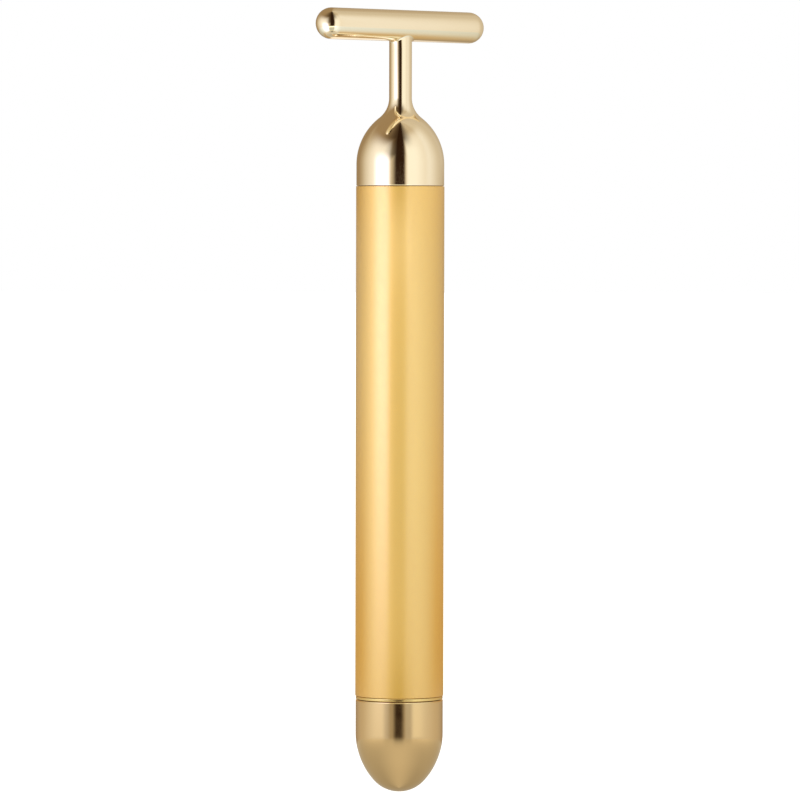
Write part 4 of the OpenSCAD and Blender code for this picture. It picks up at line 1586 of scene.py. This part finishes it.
@dataclass
class Rotor(SubAssembly):
    """Shaft, stacked core, three wound coils, commutator, spacers and the off-centre weight."""

    shaft_r: float = 0.75
    bore_r: float = 0.76
    poles: int = 3
    core_z: float = 7.4
    core_h: float = 8.0
    core_r: float = 4.0
    hub_r: float = 1.95
    pole_w: float = 1.4
    shoe_t: float = 0.8
    shoe_turn: float = 48.0
    sheets: int = 16
    sheet_gap: float = 0.02
    wire_d: float = 0.2
    liner: float = 0.03
    layers: int = 5
    side_step: float = 0.24
    end_step: float = 0.173
    coil_room: float = 0.05
    commutator_z: float = 3.6
    commutator_h: float = 3.0
    commutator_r: float = 1.7
    segment_t: float = 0.6
    segment_turn: float = 110.0
    hook_reach: float = 2.2
    hook_root: float = 1.2
    hook_neck: float = 2.0
    hook_tip: Point = (1.95, 0.25)
    hook_half: float = 0.32
    hook_t: float = 0.2
    hook_edge: float = 0.04
    hook_drop: float = 0.3
    way_in: tuple[Triple, ...] = ((1.45, 1.25, 0.2), (1.86, 0.9, 0.45))
    way_out: tuple[Triple, ...] = ((1.9, -1.0, 0.02),)
    bend_steps: int = 5
    spacer_r: float = 1.45
    washer_z: float = 3.1
    washer_t: float = 0.4
    sleeve_z: float = 15.4
    sleeve_end: float = 18.7
    weight_r: float = 5.0
    weight_hub_r: float = 1.7
    shaft_segments: int = 48
    wire_sides: int = 8
    chamfer: float = 0.12
    hub_rim: Point = (0.1, 0.09)
    washer_edge: float = 0.06
    sleeve_edge: float = 0.1
    sheet_edge: float = 0.03
    weight_edge: float = 0.16

    def __post_init__(self) -> None:
        self.z = motor_level()
        self.shaft = Span.of("motor_shaft")
        self.weight = Span.of("eccentric_weight")

    def shaft_outline(self) -> Outline:
        """The ground shaft with a chamfer at each end."""
        low, high = self.shaft.low, self.shaft.high
        return Outline().run(
            (0, low), (self.shaft_r, low, self.chamfer), (self.shaft_r, high, self.chamfer), (0, high)
        )

    def ring_outline(self, low: float, high: float, edge: float) -> Outline:
        """A spacer on the shaft, by its levels above the motor's rear face and its broken edge."""
        bore, out = self.bore_r, self.spacer_r
        low, high = self.z + low, self.z + high
        return Outline().run((bore, low), (out, low, edge), (out, high, edge), (bore, high))

    def hub_outline(self) -> Outline:
        """The commutator's moulded hub, with a thin rim at each end of the segments."""
        low = self.z + self.commutator_z
        high = low + self.commutator_h
        inner = self.commutator_r - self.segment_t
        under, rim_h = self.hub_rim
        rim = self.commutator_r - under
        return Outline().run(
            (self.bore_r, low), (rim, low), (rim, low + rim_h), (inner, low + rim_h),
            (inner, high - rim_h), (rim, high - rim_h), (rim, high), (self.bore_r, high),
        )

    def sheet_outline(self) -> list[Point]:
        """One sheet of the core: a hub and three T-shaped poles."""
        inner_r = self.core_r - self.shoe_t
        half = self.pole_w / 2
        at_hub = math.degrees(math.asin(half / self.hub_r))
        at_shoe = math.degrees(math.asin(half / inner_r))
        points: list[Point] = []
        for pole in range(self.poles):
            middle = 360.0 * pole / self.poles
            gap = 360.0 / self.poles
            points += round_points(self.hub_r, middle - gap + at_hub, middle - at_hub, 12)
            points += round_points(inner_r, middle - at_shoe, middle - self.shoe_turn, 8)
            points += round_points(self.core_r, middle - self.shoe_turn, middle + self.shoe_turn, 28)
            points += round_points(inner_r, middle + self.shoe_turn, middle + at_shoe, 8)
        return points

    def weight_outline(self) -> list[Point]:
        """The weight: half a disc with a hub round the shaft."""
        return round_points(self.weight_r, 180, 360, 64) + round_points(self.weight_hub_r, 0, 180, 32)

    def columns(self, layer: int) -> list[float]:
        """Distances from the axis of a coil's turns in one layer, from the hub outwards."""
        side = self.pole_w / 2 + self.liner + self.wire_d / 2 + layer * self.side_step
        room = self.core_r - self.shoe_t - self.coil_room
        last = math.sqrt(room ** 2 - (side + self.wire_d / 2) ** 2) - self.wire_d / 2
        first = self.hub_r + self.coil_room + self.wire_d / 2 * (1 + layer % 2)
        return [first + k * self.wire_d for k in range(int((last - first) / self.wire_d + 1e-6) + 1)]

    def turn_points(self, x: float, layer: int) -> list[Triple]:
        """One turn of wire round the tooth on +X.

        Args:
            x: Distance of the turn from the axis.
            layer: Number of the layer, from the tooth outwards.

        Returns:
            Its points, from the rear end by way of +Y, the front end and -Y back to the rear.
        """
        half = self.pole_w / 2
        out = self.liner + self.wire_d / 2 + layer * self.side_step
        past = self.liner + self.wire_d / 2 + layer * self.end_step
        low = self.z + self.core_z
        high = low + self.core_h
        points = []
        corners = ((half, low, -90), (half, high, 0), (-half, high, 90), (-half, low, 180))
        for y, z, start in corners:
            for step in range(self.bend_steps + 1):
                turn = math.radians(start + 90 * step / self.bend_steps)
                points.append((x, y + out * math.cos(turn), z + past * math.sin(turn)))
        return points

    def coil_path(self, pole: int) -> list[Triple]:
        """The unbroken wire of one coil, from its own hook of the commutator to the next one."""
        turn = 360.0 / self.poles
        hook = self.segment_turn / 2
        level = self.z + self.commutator_z + self.commutator_h
        lead_r = self.hook_reach - self.wire_d

        def hooked(angle: float) -> Triple:
            """Where a wire meets the hook at an angle."""
            spot = math.radians(angle)
            return (lead_r * math.cos(spot), lead_r * math.sin(spot), level)

        path = [hooked(hook)] + [(x, y, level + z) for x, y, z in self.way_in]
        for layer in range(self.layers):
            order = self.columns(layer)
            for x in order if layer % 2 == 0 else reversed(order):
                path += self.turn_points(x, layer)
        path += [(x, y, level + z) for x, y, z in self.way_out] + [hooked(hook - turn)]
        spin = Matrix.Rotation(math.radians(turn * pole), 3, "Z")
        return [tuple(spin @ Vector(p)) for p in path]

    def hook_outline(self, pole: int) -> list[Point]:
        """The tongue on one segment that the wires are welded to."""
        middle = math.radians(360.0 * pole / self.poles + self.segment_turn / 2)
        half = self.hook_half
        centre, radius = self.hook_tip
        tongue = [(self.hook_root, -half), (self.hook_neck, -half)]
        for angle in range(-75, 76, 15):
            turn = math.radians(angle)
            tongue.append((centre + radius * math.cos(turn), half * math.sin(turn)))
        tongue += [(self.hook_neck, half), (self.hook_root, half)]
        c, s = math.cos(middle), math.sin(middle)
        return [(c * x - s * y, s * x + c * y) for x, y in tongue]

    def build(self, workshop: Workshop) -> None:
        """Makes the turning pieces of the motor and its weight."""
        shaft = workshop.turn(
            "ground_shaft", self.shaft_outline(), SHAFT_STEEL, segments=self.shaft_segments
        )
        fit(shaft, Body.ROTOR, SHAFT_STEEL, "motor_shaft")
        step = self.core_h / self.sheets
        sheet = Plate(self.sheet_outline(), step - self.sheet_gap, self.sheet_edge, self.bore_r)
        core = workshop.stack("stacked_core", sheet, self.z + self.core_z, self.sheets, step, CORE_STEEL)
        fit(core, Body.ROTOR, CORE_STEEL, "rotor_core")
        coils = [self.coil_path(pole) for pole in range(self.poles)]
        windings = workshop.run_wires(
            "wound_coils", coils, self.wire_d / 2, WINDING_COPPER, sides=self.wire_sides
        )
        fit(windings, Body.ROTOR, WINDING_COPPER, "rotor_windings")
        small = workshop.SMALL_SEGMENTS
        hub = workshop.turn("commutator_core", self.hub_outline(), HUB_PLASTIC, closed=True, segments=small)
        fit(hub, Body.ROTOR, HUB_PLASTIC, "commutator_hub")
        dress("commutator_segments", COMMUTATOR_COPPER)
        level = self.z + self.commutator_z + self.commutator_h
        hooks = []
        for pole in range(self.poles):
            tongue = Plate(self.hook_outline(pole), self.hook_t, self.hook_edge)
            hooks.append(new_object(f"hook_{pole}", tongue.mesh(f"hook_{pole}", level - self.hook_drop)))
        tongues = merged(*hooks)
        tongues.name = "commutator_hooks"
        fit(tongues, Body.ROTOR, COMMUTATOR_COPPER)
        washer = self.ring_outline(self.washer_z, self.washer_z + self.washer_t, self.washer_edge)
        sleeve = self.ring_outline(self.sleeve_z, self.sleeve_end, self.sleeve_edge)
        for name, outline in (("thrust_washer", washer), ("spacer_sleeve", sleeve)):
            spacer = workshop.turn(name, outline, SPACER_NYLON, closed=True, segments=small)
            fit(spacer, Body.ROTOR, SPACER_NYLON, "shaft_spacers")
        height = self.weight.high - self.weight.low
        disc = Plate(self.weight_outline(), height, self.weight_edge, self.bore_r)
        weight = new_object("half_disc_weight", disc.mesh("half_disc_weight", self.weight.low))
        fit(weight, Body.ROTOR, WEIGHT_BRASS, "eccentric_weight")


# The studio


@dataclass(frozen=True)
class Softbox:
    """A lit stretch of the tent's wall.

    Angles run from the camera to the given side, in degrees, and levels are in metres. Each is a
    pair: where the edge lies and how far it feathers to either side.
    """

    side: int
    inner: Point
    outer: Point
    low: Point
    high: Point
    glow: Colour

    def mask(self, nodes: Nodes, angle: Socket, level: Socket) -> Socket:
        """The box's strength at a point of the wall, from 0 to 1."""
        turn = nodes.math("MULTIPLY", angle, float(self.side))
        rise, fall = (0.0, 1.0), (1.0, 0.0)
        edges = (
            (turn, self.inner, rise), (turn, self.outer, fall),
            (level, self.low, rise), (level, self.high, fall),
        )
        return nodes.product(1.0, *(
            nodes.ease(value, edge - feather, edge + feather, *ends)
            for value, (edge, feather), ends in edges
        ))


class Ramp(NamedTuple):
    """A smooth step along one of the studio's coordinates, which Studio.compass names."""

    along: str
    start: float
    end: float
    low: float = 0.0
    high: float = 1.0


Region = tuple[Ramp, ...]


@dataclass
class Studio:
    """Camera, floor, white surroundings and a small light tent with its softboxes.

    The floor lies just below the reach of the opened cap, so that the cap shows whole at its limit.
    """

    distance: float = 1.067
    azimuth: float = -40.9
    camera_z: float = 0.1114
    aim_z: float = 0.0778
    aim_right: float = 0.00003
    roll: float = 0.12
    lens: float = 242.3
    surround_light: float = 0.8
    sides: int = 96
    pole_gap: float = 1e-5
    floor_radius: float = 9.0
    floor_kink: float = 0.2
    floor_level: float = -0.0048
    floor_paper: Colour = (0.74, 0.73, 0.71)
    floor_lift: float = 0.72
    # What reflections show of the floor is a painted glow of floor_glow: floor_ahead in front, dimmed
    # towards floor_aside close to the object, which is painted shade.
    floor_glow: Colour = (1.0, 0.95, 0.82)
    floor_ahead: float = 0.72
    floor_aside: float = 0.5
    floor_reach: float = 0.125
    tent_radius: float = 0.095
    tent_height: float = 0.28
    tent_lift: float = 0.0003
    dome_rings: int = 9
    fill: Colour = (0.64, 0.585, 0.485)
    handle_fill: Colour = (0.575, 0.60, 0.56)
    shade: Colour = (0.37, 0.28, 0.175)
    skirting: Colour = (0.57, 0.36, 0.11)
    topside: Colour = (0.95, 0.91, 0.84)
    dark: Colour = (0.02, 0.006, 0.001)
    dark_share: float = 0.985
    bar_side: float = 108.0
    shaded_regions: tuple[Region, ...] = (
        (Ramp("angle", -98, -140), Ramp("level", 0.10, 0.12), Ramp("angle", -180, -165, 0.5)),
        (Ramp("level", 0.15, 0.225), Ramp("angle", 6, -16)),
        (Ramp("angle", 130, 180, 0.0, 0.5),),
        (Ramp("turn", 112, 158, 0.0, 0.85), Ramp("level", 0.13, 0.115)),
    )
    handle_region: Region = (Ramp("level", 0.0108, 0.0135), Ramp("level", 0.118, 0.112))
    skirting_region: Region = (
        Ramp("level", 0.0108, 0.0135), Ramp("level", 0.085, 0.02, 0.0, 0.8), Ramp("turn", 62, 108)
    )
    topside_region: Region = (Ramp("level", 0.116, 0.122), Ramp("off_side", 26, 44))
    dark_regions: tuple[Region, ...] = (
        (Ramp("angle", -24, -9), Ramp("angle", 15, 8), Ramp("level", 0.1168, 0.1196)),
        (Ramp("angle", -50, -5), Ramp("angle", 17, 8), Ramp("level", 0.13, 0.16)),
        (Ramp("angle", -90, -8), Ramp("angle", 50, 2), Ramp("level", 0.17, 0.25, 0.0, 0.92)),
    )
    # Painted shade on the floor's glow in reflections: darker behind the object, along the tent's dark gap
    # and right under the tip.
    floor_behind: Region = (Ramp("turn", 60, 130, 0.92, 0.62),)
    floor_sideways: Region = (Ramp("turn", 0, 70),)
    painted_gap_shade: Region = (Ramp("away", 0.03, 0.125, 0.0, 0.88),)
    painted_contact_shadow: Region = (Ramp("away", 0.0, 0.02, 0.9),)
    tent_foot: Region = (Ramp("level", 0.019, 0.012), Ramp("level", floor_level, 0.0035, 0.66))
    gap_core: Region = (Ramp("angle", -24, -6), Ramp("angle", 21, 3))
    gap_skirt: Region = (Ramp("angle", -46, -30), Ramp("angle", 38, 26, 0.0, 0.32))
    boxes: tuple[Softbox, ...] = (
        Softbox(-1, (26, 6), (91, 28), (0.0, 0.08), (0.205, 0.035), (0.47, 0.57, 0.76)),
        Softbox(-1, (30, 7), (64, 12), (0.045, 0.05), (0.15, 0.02), (0.78, 0.80, 1.50)),
        Softbox(1, (15, 4), (90, 34), (0.0, 0.09), (0.265, 0.055), (0.34, 0.42, 0.54)),
        Softbox(1, (18, 5), (52, 16), (0.03, 0.05), (0.2, 0.04), (0.14, 0.19, 0.24)),
        Softbox(1, (88, 14), (150, 20), (0.03, 0.03), (0.10, 0.03), (0.08, 0.05, 0.01)),
        Softbox(1, (34, 9), (62, 14), (0.0, 0.001), (0.03, 0.02), (0.13, 0.13, 0.11)),
        Softbox(-1, (40, 9), (70, 14), (0.0, 0.001), (0.03, 0.02), (0.06, 0.06, 0.05)),
        Softbox(1, (-34, 8), (26, 8), (0.024, 0.005), (0.107, 0.008), (0.04, 0.05, 0.04)),
        Softbox(1, (-34, 8), (26, 8), (0.105, 0.008), (0.1155, 0.003), (1.50, 1.45, 1.05)),
        Softbox(1, (-34, 8), (26, 8), (0.016, 0.004), (0.034, 0.012), (0.38, 0.28, 0.05)),
        Softbox(1, (74, 12), (114, 26), (0.112, 0.014), (0.5, 0.01), (0.055, 0.05, 0.035)),
        Softbox(1, (168, 6), (200, 1), (0.01, 0.02), (0.12, 0.02), (0.70, 0.72, 0.75)),
        Softbox(-1, (168, 6), (200, 1), (0.01, 0.02), (0.12, 0.02), (0.70, 0.72, 0.75)),
    )

    def build(self) -> None:
        """Sets the camera first, and then what stands round the object."""
        bpy.context.scene.view_settings.view_transform = "Standard"
        self.camera()
        self.world()
        self.floor()
        self.tent()

    def camera(self) -> None:
        """Places the camera at the photograph's viewing angle."""
        turn = math.radians(self.azimuth)
        self.towards = Vector((math.sin(turn), -math.cos(turn), 0))
        self.right = Vector((math.cos(turn), math.sin(turn), 0))
        place = self.towards * self.distance + Vector((0, 0, self.camera_z))
        aim = self.right * self.aim_right + Vector((0, 0, self.aim_z))
        look = (aim - place).to_track_quat("-Z", "Y").to_matrix().to_4x4()
        data = bpy.data.cameras.new("camera")
        data.lens = self.lens
        data.sensor_width = 36.0
        data.clip_start = 0.01
        data.clip_end = 100.0
        data.dof.use_dof = False
        camera = bpy.data.objects.new("camera", data)
        roll = Matrix.Rotation(math.radians(self.roll), 4, "Z")
        camera.matrix_world = Matrix.Translation(place) @ look @ roll
        bpy.context.scene.collection.objects.link(camera)
        bpy.context.scene.camera = camera

    def world(self) -> None:
        """White surroundings for the camera and for reflections, and a soft light for the rest."""
        world = bpy.data.worlds.new("studio")
        world.use_nodes = True
        nodes = Nodes(world.node_tree)
        path = nodes.add("ShaderNodeLightPath")
        rays = ("Is Camera Ray", "Is Glossy Ray", "Is Transmission Ray")
        seen = nodes.largest(*(path.outputs[ray] for ray in rays))
        back = world.node_tree.nodes["Background"]
        back.inputs["Color"].default_value = (1, 1, 1, 1)
        nodes.feed(back.inputs["Strength"], nodes.ease(seen, 0, 1, self.surround_light, 1.0))
        bpy.context.scene.world = world

    def stage(self, name: str, rings: Sequence[Point], glow: bpy.types.Material) -> bpy.types.Object:
        """Adds a round piece of the studio from rings of radius and level in metres."""
        turns = [2 * math.pi * k / self.sides for k in range(self.sides)]
        skin = Skin()
        skin.climb([(r * math.cos(a) / MM, r * math.sin(a) / MM, z / MM) for a in turns] for r, z in rings)
        piece = new_object(name, plain_mesh(name, skin.points, [], skin.faces))
        piece.data.materials.append(glow)
        return piece

    def compass(self, nodes: Nodes) -> dict[str, Socket]:
        """Where a point of the studio lies.

        Args:
            nodes: The tree that asks.

        Returns:
            The angle in degrees from the camera, positive to its right, the turn, which is the
            same without its sign, the distance from the handle's axis and the level, both in
            metres, and off_side, the angle from the middle of the softbox beside the cross bar.
        """
        place = nodes.add("ShaderNodeTexCoord").outputs["Object"]
        dots = [
            nodes.add("ShaderNodeVectorMath", {"operation": "DOT_PRODUCT"}, i0=place, i1=tuple(way))
            for way in (self.right, self.towards)
        ]
        across, along = (dot.outputs["Value"] for dot in dots)
        angle = nodes.product(nodes.math("ARCTAN2", across, along), 180 / math.pi)
        squares = nodes.math("ADD", nodes.product(across, across), nodes.product(along, along))
        return {
            "angle": angle,
            "turn": nodes.math("ABSOLUTE", angle),
            "away": nodes.math("SQRT", squares),
            "level": nodes.add("ShaderNodeSeparateXYZ", Vector=place).outputs[2],
            "off_side": nodes.math("ABSOLUTE", nodes.math("SUBTRACT", angle, self.bar_side)),
        }

    def share(self, nodes: Nodes, at: dict[str, Socket], region: Region) -> Socket:
        """How far a point lies in a region, from 0 to 1, as the product of the region's ramps."""
        return nodes.product(*(nodes.ease(at[along], *step) for along, *step in region))

    def low_gap(self, nodes: Nodes, at: dict[str, Socket]) -> Socket:
        """How dark the gap towards the camera is near the floor: a dark core with a soft skirt."""
        return nodes.largest(*(self.share(nodes, at, region) for region in (self.gap_core, self.gap_skirt)))

    def bare_material(self, name: str) -> tuple[bpy.types.Material, Nodes]:
        """A new material with nothing but its output, and its node tree."""
        material = bpy.data.materials.new(name)
        material.use_nodes = True
        material.node_tree.nodes.remove(material.node_tree.nodes["Principled BSDF"])
        return material, Nodes(material.node_tree)

    def floor(self) -> None:
        """A pale floor that looks white to the camera and keeps the object's shadow. Reflections show a
        painted glow instead, with painted shade and a painted contact shadow near the object.
        """
        material, nodes = self.bare_material("floor_paper")
        paper = nodes.add("ShaderNodeBsdfDiffuse", Color=(*self.floor_paper, 1))
        path = nodes.add("ShaderNodeLightPath")
        lift = nodes.product(path.outputs["Is Camera Ray"], self.floor_lift)
        white = nodes.add("ShaderNodeEmission", Color=(1, 1, 1, 1), Strength=lift)
        seen = nodes.add("ShaderNodeAddShader", i0=paper.outputs[0], i1=white.outputs[0])
        # What reflections show of the floor is a painted glow, not the lit paper. It is dimmer close to the
        # object at the sides and behind it, which is painted shade.
        at = self.compass(nodes)
        behind = self.share(nodes, at, self.floor_behind)
        near = nodes.ease(at["away"], 0.0, self.floor_reach, self.floor_aside, behind)
        sideways = self.share(nodes, at, self.floor_sideways)
        level = nodes.add("ShaderNodeMix", Factor=sideways, A=self.floor_ahead, B=near).outputs[0]
        # Painted shade on the floor's glow where the tent's dark gap meets it near the object.
        edge = nodes.product(self.low_gap(nodes, at), self.share(nodes, at, self.painted_gap_shade))
        clear = nodes.math("SUBTRACT", 1.0, edge)
        # Painted contact shadow: the floor's glow dims right under the tip.
        level = nodes.product(level, clear, self.share(nodes, at, self.painted_contact_shadow))
        painted_floor_glow = nodes.add("ShaderNodeEmission", Color=(*self.floor_glow, 1), Strength=level)
        mirrored = nodes.largest(path.outputs["Is Glossy Ray"], path.outputs["Is Transmission Ray"])
        both = nodes.add("ShaderNodeMixShader", i0=mirrored, i1=seen.outputs[0], i2=painted_floor_glow.outputs[0])
        nodes.feed(nodes.tree.nodes["Material Output"].inputs["Surface"], both.outputs[0])
        rings = [(r, self.floor_level) for r in (self.pole_gap, self.floor_kink, self.floor_radius)]
        self.stage("floor", rings, material)

    def tent(self) -> None:
        """The light tent round the object, which the camera looks through."""
        foot = self.floor_level + self.tent_lift
        rings = [(self.tent_radius, foot), (self.tent_radius, self.tent_height)]
        for step in range(1, self.dome_rings + 1):
            turn = math.radians(90 * step / self.dome_rings)
            rise = self.tent_radius * math.sin(turn)
            rings.append((self.tent_radius * math.cos(turn) + self.pole_gap, self.tent_height + rise))
        tent = self.stage("light_tent", rings, self.tent_cloth())
        tent.visible_camera = False

    def tent_cloth(self) -> bpy.types.Material:
        """The tent's glow: a warm fill, the softboxes and the dark gap towards the camera."""
        material, nodes = self.bare_material("tent_cloth")
        at = self.compass(nodes)

        def blend(kind: str, factor: object, base: object, other: Colour) -> Socket:
            """Mixes another colour into the base."""
            settings = {"data_type": "RGBA", "blend_type": kind, "clamp_result": False}
            mix = nodes.add("ShaderNodeMix", settings, i6=base, i7=(*other, 1))
            nodes.feed(mix.inputs["Factor"], factor)
            return mix.outputs[2]

        def within(*regions: Region) -> Socket:
            """How far a point lies in the nearest of several regions."""
            return nodes.largest(*(self.share(nodes, at, region) for region in regions))

        glow = blend("MIX", within(self.handle_region), (*self.fill, 1), self.handle_fill)
        glow = blend("MIX", within(*self.shaded_regions), glow, self.shade)
        glow = blend("MIX", within(self.skirting_region), glow, self.skirting)
        for box in self.boxes:
            glow = blend("ADD", box.mask(nodes, at["angle"], at["level"]), glow, box.glow)
        glow = blend("MULTIPLY", within(self.topside_region), glow, self.topside)
        lower = nodes.product(self.low_gap(nodes, at), within(self.tent_foot))
        dark = nodes.largest(within(*self.dark_regions), lower)
        glow = blend("MIX", nodes.product(dark, self.dark_share), glow, self.dark)
        light = nodes.add("ShaderNodeEmission", Color=glow, Strength=1.0)
        nodes.feed(nodes.tree.nodes["Material Output"].inputs["Surface"], light.outputs[0])
        return material


def main() -> None:
    """Builds the studio and the object."""
    logging.basicConfig(level=logging.INFO, format="%(message)s")
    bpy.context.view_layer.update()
    Studio().build()
    workshop = Workshop()
    for part in (MassageHead(), Handle(), ClosingCap(), Battery(), MotorCarrier(), Motor(), Rotor()):
        log.info("-- %s", type(part).__name__)
        part.build(workshop)


if __name__ == "__main__":
    main()
